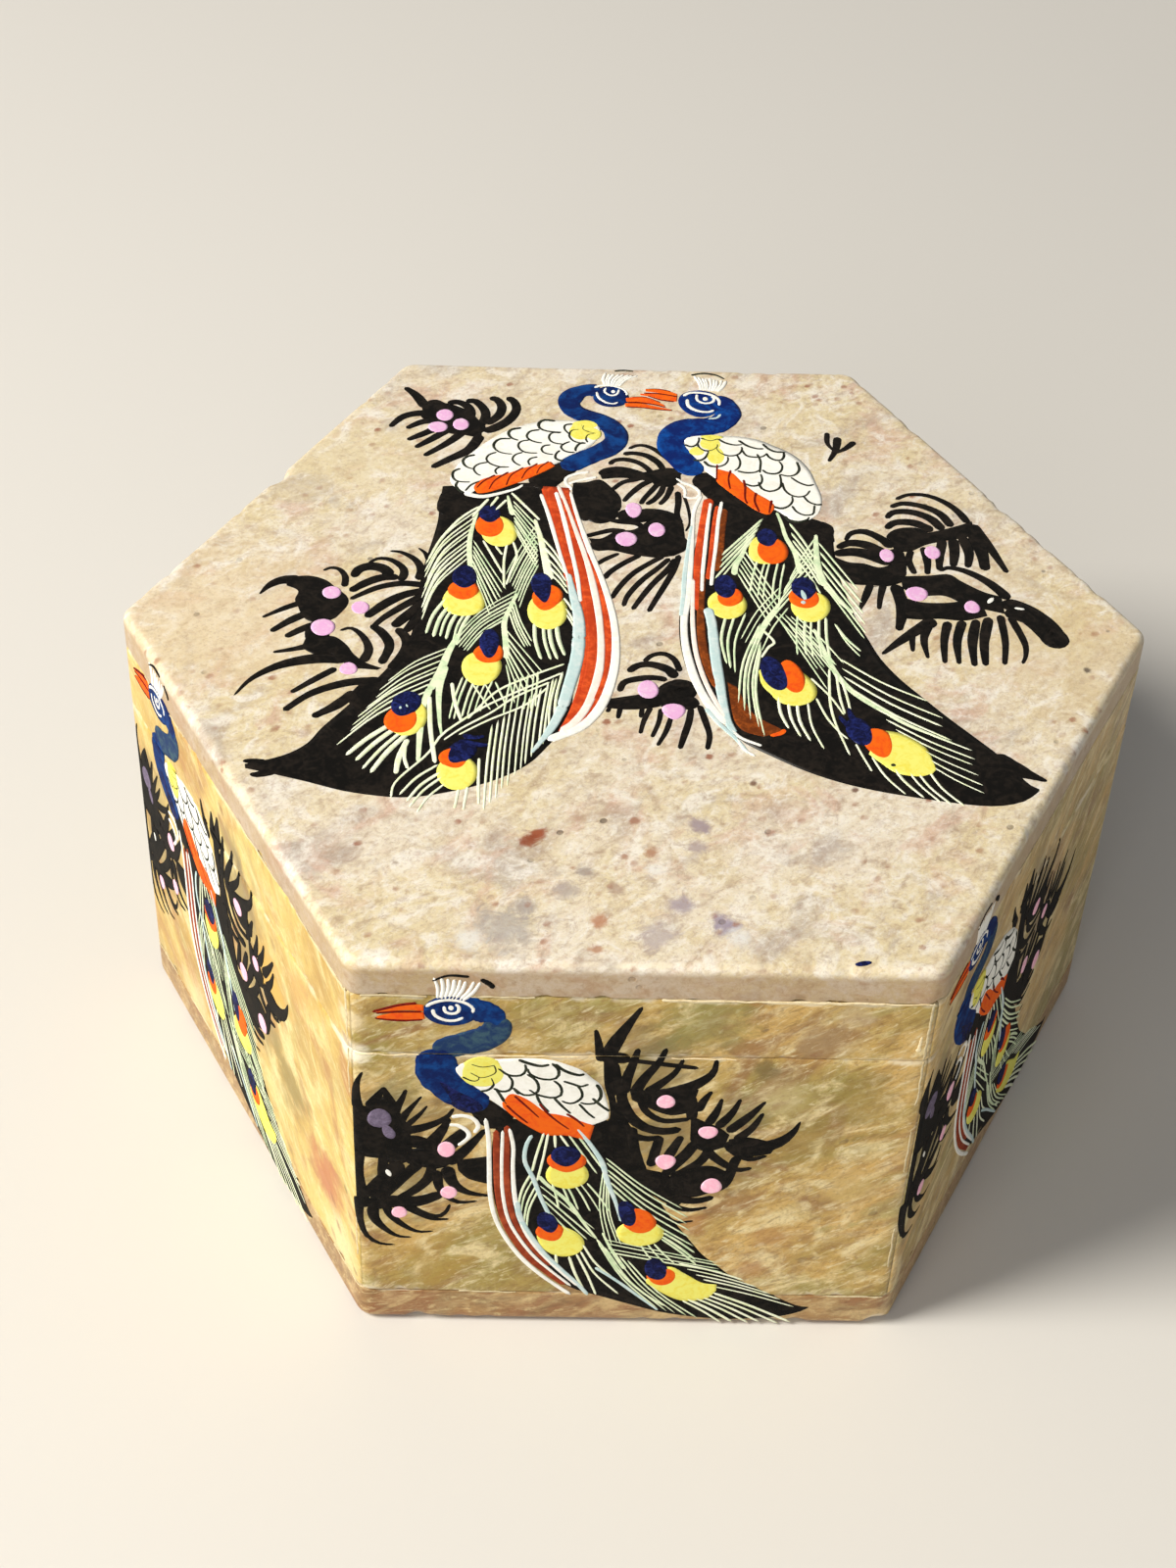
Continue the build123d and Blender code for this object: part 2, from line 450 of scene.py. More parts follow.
def makeSlab(name, look):
    foot, top, low, high = (look[key] for key in ("foot", "top", "footRound", "topRound"))
    around, below, above = slabMesh["around"], *look["flatRings"]
    place, outward = outlineAt(np.linspace(0, perimeter, around, endpoint=False))
    # each ring: how far in from the outline, how much shrunk, its height, and how much it faces up
    turn = np.linspace(0, np.pi / 2, slabMesh["arcRows"])
    edge = [(low - low * np.sin(a), 1.0, foot + low - low * np.cos(a), -np.cos(a)) for a in turn]
    edge += [(0.0, 1.0, z, 0.0) for z in np.linspace(foot + low, top - high, slabMesh["edgeRows"])[1:-1]]
    edge += [(high - high * np.cos(a), 1.0, top - high + high * np.sin(a), np.sin(a)) for a in turn]
    footShares = np.linspace(0, 1, below + 1)[1:-1] ** slabMesh["footCrowd"]
    topShares = np.linspace(1, 0, above + 1)[1:-1] ** slabMesh["topCrowd"]
    rings = [(low, share, foot, -1.0) for share in footShares] + edge
    rings += [(high, share, top, 1.0) for share in topShares]
    inset, share, level, up = np.array(rings).T[:, :, None, None]
    plan = (place - inset * outward) * share
    points = np.concatenate([plan, np.broadcast_to(level, plan[..., :1].shape)], -1).reshape(-1, 3)
    facing = np.broadcast_to(up, plan[..., :1].shape)
    facing = np.concatenate([outward * np.sqrt(1 - up * up), facing], -1).reshape(-1, 3)
    points = np.vstack([points, [[0, 0, foot], [0, 0, top]]])
    facing = np.vstack([facing, [[0, 0, -1.0], [0, 0, 1.0]]])

    # quads between the rings, and a fan of triangles to the middle of each flat
    j, last, footMiddle = np.arange(around), (len(rings) - 1) * around, len(rings) * around
    faces = [
        gridFaces(len(rings), around),
        np.stack([np.roll(j, -1), j, np.full(around, footMiddle)], 1),
        np.stack([last + j, last + np.roll(j, -1), np.full(around, footMiddle + 1)], 1)]

    rng = np.random.default_rng(look["seed"])
    spots = list(knownChips[name])
    for z, count in zip((top, foot), look["chips"][::-1]):
        spots += edgeChips(rng, 0, perimeter, z, count, slabChips)
    push = bites(points, spots)
    points = points + facing * (sanding(points) - push)[:, None]
    points[:, 2] = np.clip(points[:, 2], 0.0, levels["top"] + sandingSettings["topLimit"])
    row = np.arange(len(points)) // around - (below - 1)  # the edge's rows count from 0
    rim = np.where((row >= 0) & (row < slabWear["footRows"]), slabWear["foot"], 0.0)
    rim[(row >= len(edge) - slabWear["topRows"]) & (row < len(edge) - 1)] = slabWear["top"]
    rubbed = lumps(points, slabWear["lumps"], slabWear["seed"])
    wear = np.clip(rim * (0.5 + 1.1 * rubbed) + push * 2.5, 0, 1)
    marks = [(x, y, top, *mark) for x, y, *mark in look["marks"]]
    stone = soapstone(name, look["look"], marks=marks)
    piece = makePiece(name + "_stone", points, faces, [stone], look["body"], wear)
    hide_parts(name)


for slabName, slabLook in slabSettings.items():
    makeSlab(slabName, slabLook)
print("slabs made")


# Strips: a rounded oblong section carried along one side, from the middle of one corner to the next one's
stripSettings = {
    "body_wall": {
        "foot": levels["baseTop"], "top": levels["seam"], "outer": 0.0, "thick": thickness["wall"],
        "round": 0.28, "rows": 118, "tall": 44, "body": "body", "slot": "soapstone_wall"},
    "lid_rim": {
        "foot": levels["seam"], "top": levels["rimTop"], "outer": 0.0, "thick": thickness["rim"],
        "round": 0.28, "rows": 118, "tall": 14, "body": "lid", "slot": "soapstone_wall"},
    "guide_slip": {
        "foot": levels["slipFoot"], "top": levels["slipTop"], "outer": thickness["wall"],
        "thick": thickness["slip"], "round": 0.35, "rows": 60, "tall": 10, "body": "body",
        "slot": "soapstone_slip"},
}
# the two points of a worn arris: how far in from the face and down from the top, as shares of its size
stripArris = ((0.29, 0.29), (0.426, 0.12))
stripWear = {"foot": 0.5, "top": 0.6, "lumps": 2.2, "seed": 31}
stripChips = {"radius": (0.35, 0.95), "power": 1.0, "depth": 0.25, "top": 9, "foot": 7}
# Stains in the sides: distance along the side, height, radius, colour, strength
leafShade = "6f6440"
leafStains = (
    (-22.6, 31.2, 5.2, leafShade, 0.55), (-20.4, 22.6, 5.6, leafShade, 0.55),
    (1.2, 37, 5.4, leafShade, 0.6), (3.6, 28.4, 5.6, leafShade, 0.6), (9.2, 31.4, 3.6, leafShade, 0.45),
    (-0.6, 41.6, 3.2, leafShade, 0.45), (6, 22.4, 3.6, leafShade, 0.4))
sideStains = {
    "front": leafStains + (
        (6, 44.2, 4.4, "8f8a4a", 0.6), (15.6, 42.4, 2.8, "a68c66", 0.55), (18.6, 45.4, 2, "c9b38c", 0.5),
        (11.2, 38.2, 1.5, "6b5a30", 0.7), (20.6, 33.6, 4.4, "8f7c36", 0.55),
        (15.8, 28.6, 3.8, "93803a", 0.5), (13.2, 34.4, 3, "cfba86", 0.45), (20.4, 21.6, 3.4, "cdb06f", 0.5),
        (12, 9.2, 2, "a2683a", 0.55), (13.4, 14.2, 2.2, "a8743f", 0.45), (5.8, 15.6, 1.8, "a5672f", 0.5),
        (-19.8, 9.4, 4.6, "b8963f", 0.5), (-25.6, 39.4, 1.7, "f6efd8", 0.8),
        (-25.8, 43.6, 1.6, "ecdcb4", 0.6)),
    "front_left": leafStains + (
        (11.8, 20, 4.8, "96803a", 0.95), (8.4, 30.4, 4.8, "deac3a", 0.8), (19.6, 14.2, 4.4, "b86a3c", 0.9),
        (22.6, 7.4, 4.4, "eadba8", 0.7), (15.4, 36.4, 3.4, "c98b4a", 0.4), (-14.8, 6.2, 4.2, "ecd9a8", 0.6),
        (26.4, 39.4, 1.9, "f6efd8", 0.8), (26.2, 43.6, 1.7, "ecdcb4", 0.6)),
}
# The back right and front left walls take the honey stone, whose extra brightness is partly painted light
sideStones = (honeyStone, oliveStone, oliveStone, honeyStone, oliveStone, oliveStone)


def stripSection(look):
    # up the outer face, in over the top, down the inner face and out under the foot; each point is its
    # share of the way from the outer face to the inner one, and its height
    foot, top, soft = look["foot"], look["top"], look["round"]
    part = soft / look["thick"]
    high = np.linspace(foot + soft, top - soft, look["tall"])
    deep = np.linspace(part, 1 - part, 6)
    across, down = stripArris[0]
    section = [(0.0, z) for z in high]
    section += [(part * w, top - soft * h) for w, h in stripArris]
    section += [(w, top) for w in deep] + [(1 - part * across, top - soft * down)]
    section += [(1.0, z) for z in high[::-1]] + [(1 - part * across, foot + soft * down)]
    section += [(w, foot) for w in deep[::-1]]
    section += [(part * w, foot + soft * h) for w, h in stripArris[::-1]]
    return np.array(section)


def makeStrip(family, look, k):
    name, inside = family + "_" + sideNames[k], look["outer"] > 0
    rows, tall, foot, top = (look[key] for key in ("rows", "tall", "foot", "top"))
    if inside:
        outer = alongSide(k, look["outer"], np.linspace(0, 1, rows))
    else:
        lower, upper = middleOfCorner[k], middleOfCorner[k + 1]
        spread = np.linspace(-1, 1, rows)
        spread = spread * (1 + 0.10 * (1 - spread ** 2))  # stations crowd towards the corners
        outer, _ = outlineAt(lower + (upper - lower) * (spread + 1) / 2 * (1 - 1e-9))
    travelled = np.cumsum(np.append(0, np.hypot(*np.diff(outer, axis=0).T)))
    across = alongSide(k, look["outer"] + look["thick"], travelled / travelled[-1]) - outer
    depth, level = stripSection(look).T
    plan = outer[:, None, :] + across[:, None, :] * depth[None, :, None]
    points = np.concatenate([plan, np.broadcast_to(level[None, :, None], plan.shape[:2] + (1,))], 2)
    outward = np.zeros_like(points)
    direction = -across / np.linalg.norm(across, axis=1)[:, None]
    outward[:, :tall, :2] = direction[:, None]
    outward[:, tall:tall + 2, :2] = outward[:, -2:, :2] = direction[:, None] * 0.7
    points, outward, loop = points.reshape(-1, 3), outward.reshape(-1, 3), len(level)

    rng = np.random.default_rng(100 + k + int(foot))
    spots = []
    for z, count in () if inside else ((top, stripChips["top"]), (foot, stripChips["foot"])):
        spots += edgeChips(rng, middleOfCorner[k], middleOfCorner[k + 1], z, count, stripChips)
    push = bites(points, spots)
    points = points + outward * (sanding(points) * (0.4 if inside else 1.0) - push)[:, None]
    column = np.tile(np.arange(loop), rows)
    rim = np.where((column >= tall - 1) & (column < tall + 3), stripWear["top"], 0.0)
    rim = np.where((column >= loop - 3) | (column < 1), stripWear["foot"], rim)
    rubbed = lumps(points, stripWear["lumps"], stripWear["seed"])
    wear = np.clip(rim * (0.6 + 1.1 * rubbed) + push * 3.5, 0, 1)

    # the mitred ends are flat, and the faces towards the inside keep the marks of the saw
    quads = gridFaces(rows, loop)
    ends = np.arange(loop)[None, :], np.arange((rows - 1) * loop, rows * loop)[None, ::-1]
    faces = [quads[:, ::-1], *ends]
    column = quads[:, 0] % loop
    kinds = np.append((column >= tall + 1) & (column < loop - 3), [True, True])
    flat = np.append(np.zeros(len(quads), bool), [True, True])
    direction = outlineAt(middleOfSide[k])[1]
    azimuth = float(np.arctan2(direction[1], direction[0]) + np.pi / 2)
    stone = tanStone if inside else sideStones[k]
    stone = dict(stone, shift=tuple(v + 0.037 * (k + 1) for v in stone["shift"]))
    stains = () if inside else sideStains.get(sideNames[k], leafStains)
    marks = [(*outlineAt(middleOfSide[k] + s)[0], *stain) for s, *stain in stains]
    stones = [soapstone(name, stone, azimuth, marks=marks), soapstone(name + "_sawn", stone, azimuth, True)]
    piece = makePiece(name + "_stone", points, faces, stones, look["body"], wear, kinds, flat)
    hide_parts(name)


for familyName, familyLook in stripSettings.items():
    for sideNumber in range(6):
        makeStrip(familyName, familyLook, sideNumber)
print("walls, rims and slips made")


# Enamels: two tones of each paint mixed by the brush, with a thin gloss coat
enamelSettings = {
    # name: main tone, second tone, brush size in mm, roughness
    "black": ("0b0a09", "211c18", 1.8, 0.3),
    "blue": ("071d54", "0e4285", 2.4, 0.3),
    "cobalt": ("052063", "0b4998", 2.4, 0.3),
    "slate": ("1e365f", "3e5a68", 1.6, 0.36),
    "navy": ("0b0f32", "1f2969", 0.9, 0.28),
    "white": ("fbfaf3", "eeece2", 1.5, 0.34),
    "yellow": ("f0ec78", "ede05a", 1.2, 0.34),
    "orange": ("f06916", "e95018", 1.3, 0.32),
    "red": ("bc3f1c", "e45c29", 2.2, 0.32),
    "rust": ("8a351c", "aa4d2b", 1.8, 0.34),
    "pink": ("e7afdc", "eccbe4", 0.8, 0.36),
    "rose": ("ffbcd4", "ffd6e4", 0.8, 0.36),
    "lilac": ("675c72", "847890", 0.7, 0.4),
    "green": ("ebf5d0", "c8dfb3", 2.2, 0.36),
    "palegreen": ("f6fae0", "e4eec0", 2.0, 0.36),
    "blush": ("f9e6da", "fcf4ec", 1.8, 0.34),
    "sky": ("bfd8d8", "dae5e3", 1.8, 0.34),
    "line": ("1d221a", "3b4032", 1.1, 0.34),
    "filler": ("d8cba7", "c1ad83", 1.4, 0.5),
    "chalk": ("f2e2bc", "dcc696", 0.9, 0.5),
    "maroon": ("63100b", "831c0e", 0.9, 0.32),
    "brown": ("673011", "964a1a", 1.0, 0.32),
}
# Paints that would share another paint's slot; paintPiece looks the slot up but gives it to no piece
enamelSlots = {
    "navy": "enamel_blue", "cobalt": "enamel_blue", "slate": "enamel_blue", "rust": "enamel_red",
    "maroon": "enamel_red", "brown": "enamel_red", "rose": "enamel_pink", "lilac": "enamel_pink",
    "palegreen": "enamel_green", "blush": "enamel_white", "sky": "enamel_pale_blue", "line": "enamel_black",
    "filler": "joint_filler", "chalk": "joint_filler",
}


def enamel(name, look):
    main, second, size, rough = look
    r = Recipe("enamel_" + name)
    place = r.add("ShaderNodeTexCoord", out="Object")
    brush = r.noise(place, size, 4.0, 0.6, 1.2)
    fine = r.noise(place, size * 0.25, 3.0, 0.6)
    colour = r.mix((brush * 0.7 + fine * 0.3).band(0.42, 0.66), tint(main), tint(second))
    relief = r.add("ShaderNodeBump", None, {
        "Strength": 0.35, "Distance": 0.04 * mm, "Height": brush * 0.6 + fine * 0.4})
    return r.finish(r.add("ShaderNodeBsdfPrincipled", None, {
        "Base Color": colour, "Roughness": (fine - 0.5) * 0.25 + rough, "Normal": relief,
        "Coat Weight": 0.16, "Coat Roughness": 0.25, "Specular IOR Level": 0.0}))


enamels = {name: enamel(name, look) for name, look in enamelSettings.items()}


# Brush marks: a thin closed ribbon between a left and a right edge, both on the painted face in millimetres
def smoothLine(numbers, rows, ease=0.0):
    # a Catmull-Rom curve through the points, cut into rows at even lengths, closer at the ends with ease
    knots = np.asarray(numbers, float).reshape(-1, 2)
    ghost = np.vstack([2 * knots[0] - knots[1], knots, 2 * knots[-1] - knots[-2]])
    t = np.linspace(0, len(knots) - 1, 10 * len(knots) + 1)
    i = np.minimum(t.astype(int), len(knots) - 2)
    u = (t - i)[:, None]
    a, b, c, d = ghost[i], ghost[i + 1], ghost[i + 2], ghost[i + 3]
    curve = b + 0.5 * u * (c - a + u * (2 * a - 5 * b + 4 * c - d + u * (3 * (b - c) + d - a)))
    length = np.append(0, np.cumsum(np.hypot(*np.diff(curve, axis=0).T)))
    share = np.linspace(0, 1, rows)
    share = share * (1 - ease) + ease * (1 - np.cos(np.pi * share)) / 2
    travelled = share * length[-1]
    return np.stack([np.interp(travelled, length, curve[:, k]) for k in (0, 1)], 1), travelled


class Painting:
    # the marks of one face, each a colour, two edges, the height of the paint, how square its top is and
    # how many points cross it
    square = {"fill": 6.0, "blob": 4.0, "stroke": 2.6}

    def __init__(self, seed, rows):
        self.marks = []
        self.rows = rows  # how many stations a stroke has
        self.load = 1.0  # how much wider than written the brush draws
        self.rng = np.random.default_rng(seed)

    def fill(self, colour, lift, *lines, rows=36, across=11):
        # the area between each two lines of points
        for first, second in zip(lines[::2], lines[1::2]):
            left, right = smoothLine(first, rows)[0], smoothLine(second, rows)[0]
            self.marks.append((colour, left, right, lift, self.square["fill"], across))

    def blobs(self, colour, lift, *items):
        # an uneven oval about x, y with two radii and, where it has one, a tilt in degrees
        for x, y, wide, tall, *tilt in items:
            along = -np.cos(np.linspace(0.02, np.pi - 0.02, 15))
            wide = wide * (1 + 0.07 * self.rng.standard_normal())
            bulge = wide * np.sqrt(1 - along ** 2) * (1 + 0.10 * along * self.rng.standard_normal())
            turn = np.radians(tilt[0] if tilt else 0.0)
            axis, side = np.array([-np.sin(turn), np.cos(turn)]), np.array([np.cos(turn), np.sin(turn)])
            spine = np.array([x, y]) + tall * along[:, None] * axis
            reach = bulge[:, None] * side
            self.marks.append((colour, spine - reach, spine + reach, lift, self.square["blob"], 9))

    def strokes(self, colour, lift, *items, rows=0, across=6):
        # a pair is the brush's width at the start and at the end of the lines of points after it
        rows = rows or self.rows
        for numbers in items:
            if len(numbers) == 2:
                first, last = numbers[0] * self.load, numbers[1] * self.load
                continue
            spine, length = smoothLine(numbers, rows, 0.6)
            ahead = np.gradient(spine, axis=0)
            ahead /= np.linalg.norm(ahead, axis=1)[:, None]
            share = length / length[-1]
            half = 0.5 * (first + (last - first) * share) * (1 + 0.15 * np.sin(np.pi * share))
            half = half * (1 + 0.10 * np.convolve(self.rng.standard_normal(rows), np.ones(5) / 5, "same"))
            for away, width in ((length, first), (length[-1] - length, last)):
                half = half * np.sqrt(1 - (1 - np.clip(away / (0.5 * width + 0.02), 0.02, 1)) ** 2)
            side = np.stack([-ahead[:, 1], ahead[:, 0]], 1) * half[:, None]
            self.marks.append((colour, spine + side, spine - side, lift, self.square["stroke"], across))

    def fans(self, colour, lift, *items):
        # lines from points between two roots to points between two tips: x, y four times, count, bow, width
        for ax, ay, bx, by, cx, cy, dx, dy, count, bow, width in items:
            for share in (np.arange(count) + 0.5) / count:
                share = share + self.rng.uniform(-0.16, 0.16) / count
                root = np.array([ax + (bx - ax) * share, ay + (by - ay) * share])
                tip = np.array([cx + (dx - cx) * share, cy + (dy - cy) * share])
                tip = tip + (tip - root) * self.rng.uniform(-0.05, 0.05)
                run = tip - root
                middle = (root + tip) / 2 + bow * np.array([-run[1], run[0]]) * self.rng.uniform(0.9, 1.1)
                wide = width * self.rng.uniform(0.8, 1.2)
                self.strokes(colour, lift, (wide, wide * 0.8), (*root, *middle, *tip), rows=11, across=3)


# A feather's eye: the colour and height of its three spots of paint, and how much the brush spreads them
eyeSettings = {"paints": (("yellow", 0.085), ("orange", 0.105), ("navy", 0.125)), "spread": (1.12, 1.08)}


def featherEyes(art, *spots):
    # three spots for each eye: x, y, two radii and a tilt
    for place, (x, y, wide, tall, *tilt) in enumerate(spots):
        colour, lift = eyeSettings["paints"][place % 3]
        wide, tall = wide * eyeSettings["spread"][0], tall * eyeSettings["spread"][1]
        art.blobs(colour, lift, (x, y, wide, tall, *tilt))


def headMarks(art, pupil, *lines):
    # the lids and the ring round the eye, and the spot in it
    art.strokes("white", 0.115, *lines)
    art.blobs("white", 0.115, pupil)


def paintLeftBird(art):
    art.fill("black", 0.045, (-20.1, 23, -20.3, 20, -20.4, 17, -20.8, 14, -21.3, 11, -21.7, 8, -22, 4,
        -22.2, 0, -22.6, -3, -24.2, -6.5, -26.4, -10.3, -28.4, -13.4, -30.2, -16, -31.4, -18.2,
        -33.2, -19.8, -35.4, -20.8, -37, -21.3), (-8.9, 24.2, -9.2, 20, -8.6, 16, -7.9, 12, -7.2, 8,
        -6.6, 4, -6.2, 0, -6.2, -4, -6.3, -8, -6.5, -12, -7.4, -15.5, -8.8, -18, -10.6, -20.6, -13.5, -22.8,
        -17.5, -24.5, -22, -25.5, -27, -24.9, -31, -23.6, -34, -22.7, -36.9, -21.9), rows=70, across=17)
    art.strokes("black", 0.05, (2.3, 3.2), (-6, 28.1, -7.4, 26.6, -9, 24.9, -10.3, 23.2),
        (1.2, 0.5), (-34, -22, -35.6, -22.7, -36.4, -22.7),
        (1.6, 2.2), (-19.3, 22.4, -19.4, 20.4, -19.5, 18),
        (0.9, 0.4), (-35, -21.1, -36.4, -20.9, -37.2, -20.9))
    # neck and head
    art.strokes("blue", 0.085, (2.2, 2.5), (-3.2, 41.5, -4.6, 41.7, -6, 40.9, -6.7, 39.3, -6.3, 37.8,
        -5.2, 36.8, -3.7, 36, -2.3, 34.9, -1.6, 33.4, -1.7, 31.8, -2.7, 30.4, -4.3, 29.2, -6, 27.9,
        -7.3, 26.6), rows=60, across=9)
    art.blobs("blue", 0.09, (-2.05, 40.55, 1.95, 2.05))
    art.fill("orange", 0.09, (-0.4, 40.3, 1, 40.6, 2.4, 40.2, 3.8, 39.1),
        (-0.4, 39.6, 1.2, 39.6, 2.6, 39.3, 3.9, 38.8), (-0.5, 39.3, 1.2, 39.3, 2.6, 38.9, 4.6, 38.2),
        (-0.5, 38.6, 1.2, 38.5, 2.8, 38.2, 4.6, 38.05))
    art.strokes("maroon", 0.1, (0.2, 0.12), (-0.3, 39.45, 1.2, 39.45, 2.8, 39.1, 4, 38.6),
        (0.16, 0.1), (-0.4, 38.6, 1.4, 38.5, 3, 38.2, 4.7, 38.05),
        (0.14, 0.1), (0.3, 40.5, 1.8, 40.5, 3.4, 39.6))
    headMarks(art, (-1.8, 41.45, 0.28, 0.3),
        (0.32, 0.24), (-3.9, 42.2, -3, 42.65, -1.7, 42.5, -0.7, 42, -0.3, 41.2, -0.35, 40.8),
        (0.3, 0.26), (-3.65, 41.3, -3.4, 40.2, -2.6, 39.3, -1.8, 39.1, -1.3, 39.4),
        (0.28, 0.26), (-2.6, 42.2, -2.75, 41.4, -2.1, 40.7, -1.4, 41, -1.15, 41.9))
    art.fans("white", 0.1, (-2.8, 42.8, -1, 42.6, -2.9, 45, 1.2, 44.7, 8, 0.1, 0.34))
    art.strokes("line", 0.11, (0.22, 0.16), (-1.6, 45.55, -0.6, 45.75, 0.5, 45.6))
    # wing
    art.fill("white", 0.075, (-3.4, 34.6, -4.4, 35.5, -6.5, 35.7, -9.3, 35.6, -11.6, 34.7, -13.5, 33.5,
        -15.3, 31.7, -16.9, 29.6, -18.3, 27.5, -19.2, 25.4, -19.3, 23.8, -18.6, 22.6, -17.6, 21.8),
        (-3.3, 33.9, -3.6, 32.4, -4.6, 30.7, -6.2, 29.2, -8, 27.6, -9.8, 26.6, -11.6, 25.6, -13.4, 24.6,
        -15, 23.6, -16.1, 22.8, -16.8, 22.2, -17, 21.8, -17.2, 21.6), across=15)
    art.strokes("white", 0.07, (0.7, 0.3), (-17.8, 21.8, -16, 21.3, -14.4, 21.8, -12.4, 22.8, -11.6, 23.6))
    art.blobs("yellow", 0.09, (-5, 34.9, 1.7, 0.85, 6), (-5.5, 33.6, 1.45, 1.5), (-4.1, 33.2, 0.9, 1.1))
    art.fill("orange", 0.09,
        (-8.7, 27.9, -10.4, 27.2, -11.8, 26.6, -13.4, 25.6, -15, 25.1, -16.4, 24.2, -16.9, 23, -16.6, 22.2),
        (-8.2, 27.1, -9.4, 26, -10.8, 24.9, -12.2, 23.9, -13.6, 23, -14.8, 22.3, -15.8, 21.9, -16.4, 21.9))
    art.strokes("maroon", 0.11, (0.24, 0.16), (-8.9, 27.9, -9.8, 26.8, -10.2, 25.6),
        (-10.1, 27.5, -11.2, 26.2, -11.8, 24.6), (0.24, 0.18), (-11.6, 26.7, -12.9, 25.2, -13.4, 23.4),
        (0.26, 0.18), (-13.2, 25.8, -14.6, 24.2, -15.2, 22.6), (-14.6, 25.2, -15.8, 24, -16.5, 22.8))
    art.load = 1.3
    art.strokes("line", 0.1,
        (0.26, 0.22), (-8.2, 35.5, -9.4, 35.7, -10, 35.1, -10, 34.3, -9.6, 33.8, -8.8, 33.5, -7.5, 33.4),
        (-11.9, 34.1, -12.9, 33.8, -13.3, 33.1, -13, 32.2, -12.2, 31.7),
        (-9.9, 33.8, -10.9, 33.5, -11.3, 32.7, -11.1, 32, -10.4, 31.5, -9.6, 31.3),
        (-7.6, 33.3, -8.5, 33.3, -8.9, 32.6, -8.7, 31.7, -8.1, 31.3, -7.4, 31.2), (0.25, 0.2), (-13, 32,
        -14.2, 31.9, -14.8, 31.1, -14.8, 30.2, -14.3, 29.5, -13.6, 29.2, -12.8, 29.1),
        (-11, 31.8, -11.8, 31.6, -12.2, 31, -12.1, 30.2, -11.6, 29.6, -10.9, 29.4, -10.1, 29.4),
        (-8.7, 31, -9.4, 30.8, -9.7, 30.2, -9.5, 29.6, -9, 29.3, -8.4, 29.2),
        (-6.6, 31.7, -7.2, 31.3, -7.6, 30.7, -7.3, 30, -6.7, 29.7, -6.1, 29.7),
        (-4.9, 31.5, -5.6, 31.3, -6, 30.5, -6, 29.9),
        (-14.5, 29.4, -15.3, 28.9, -15.6, 28.1, -15.3, 27.4, -14.8, 27, -14.1, 26.7, -13.1, 26.7),
        (-11.7, 29.5, -12.5, 29, -12.8, 28.2, -12.5, 27.5, -11.9, 27),
        (-10.1, 28.7, -10.8, 28.4, -11.1, 27.8, -10.9, 27.1),
        (-7.7, 30, -8.1, 29.4, -8.2, 28.6, -7.8, 28.2, -7.3, 28.1),
        (-16.8, 28.8, -17.7, 28.4, -18.1, 27.6, -17.8, 26.7, -17.3, 26.3, -16.9, 26.2),
        (-15.4, 27.5, -16.4, 27.1, -16.9, 26.3, -16.6, 25.4, -16.1, 25),
        (-13.4, 26.7, -14.2, 26.6, -14.6, 26, -14.4, 25.3),
        (-18.3, 26.2, -19, 25.7, -19.1, 24.7, -18.7, 24, -18.1, 23.8, -17.2, 23.8),
        (-18.5, 23.9, -18.7, 23.1, -18.3, 22.3, -17.8, 21.9), (-16.2, 24, -17.1, 23.3, -17.7, 22.2),
        (-6.3, 35, -7.1, 34.8, -7.2, 34, -6.7, 33.1), (-4, 33.3, -4.7, 33, -4.9, 32.3, -4.7, 31.6),
        (-5.6, 34, -6.4, 33.8, -6.7, 32.8, -6.3, 31.9, -5.6, 31.5, -5.1, 31.6),
        (0.24, 0.2), (-5.1, 34.8, -5.2, 34.1, -4.6, 33.6, -3.8, 33.3), rows=16, across=3)
    art.load = 1.0
    # side ribbons on a red ground
    art.fill("red", 0.06, (-9.7, 23.4, -9, 18, -8.1, 13, -7.2, 8, -6.3, 4, -5.6, 0, -5.5, -5, -5.9, -9,
        -6.8, -13, -7.8, -15.8), (-6.7, 23.2, -5.9, 18.5, -4.6, 12.5, -3.5, 8, -2.7, 4, -2.2, 0, -2.2, -5,
        -2.8, -9, -3.8, -12.3, -5.4, -14.9, -7, -16), rows=50)
    art.strokes("red", 0.08, (0.9, 0.6), (-8.7, 23.3, -8.1, 18, -7.1, 12.5, -6.4, 8),
        (1.1, 0.8), (-7.4, 21.5, -6.7, 17, -5.8, 12, -5.1, 7, -4.6, 2, -4.5, -3, -4.8, -7, -5.3, -10),
        (0.5, 0.6), (-4.9, 12, -3.9, 8, -3.2, 4, -2.8, 0, -2.8, -4, -3.4, -8, -4.4, -11), rows=40)
    art.strokes("white", 0.1, (0.42, 0.3), (-9.7, 22, -8.8, 18, -7.7, 12, -6.9, 8, -6.4, 5),
        (0.45, 0.4), (-8.1, 22.4, -7.3, 18, -6.5, 12.5, -5.9, 8, -5.6, 4), (0.35, 1), (-6.6, 22.5,
        -5.9, 18.5, -4.6, 12.5, -3.5, 8, -2.7, 4, -2.2, 0, -2.2, -5, -2.8, -9, -3.8, -12.3, -5.4, -14.9,
        -7.4, -16.3, -8.8, -17.1), rows=44)
    art.strokes("blush", 0.095, (0.4, 0.9), (-7.9, 23.6, -7, 20, -6.1, 16, -5, 11, -4.2, 6, -3.7, 1,
        -3.6, -4, -4, -8, -5, -12, -6.3, -14.6, -7.6, -15.9), rows=40)
    art.strokes("sky", 0.11, (0.5, 1.25), (-6.8, 8.5, -6.3, 5, -5.8, 1.6, -5.75, -2),
        (1.25, 1.1), (-5.75, -1.4, -6, -5, -6.8, -9.4, -7.4, -12.4),
        (1.1, 0.3), (-7.3, -12, -8.3, -15, -9.4, -17.3, -10.3, -19), rows=26)
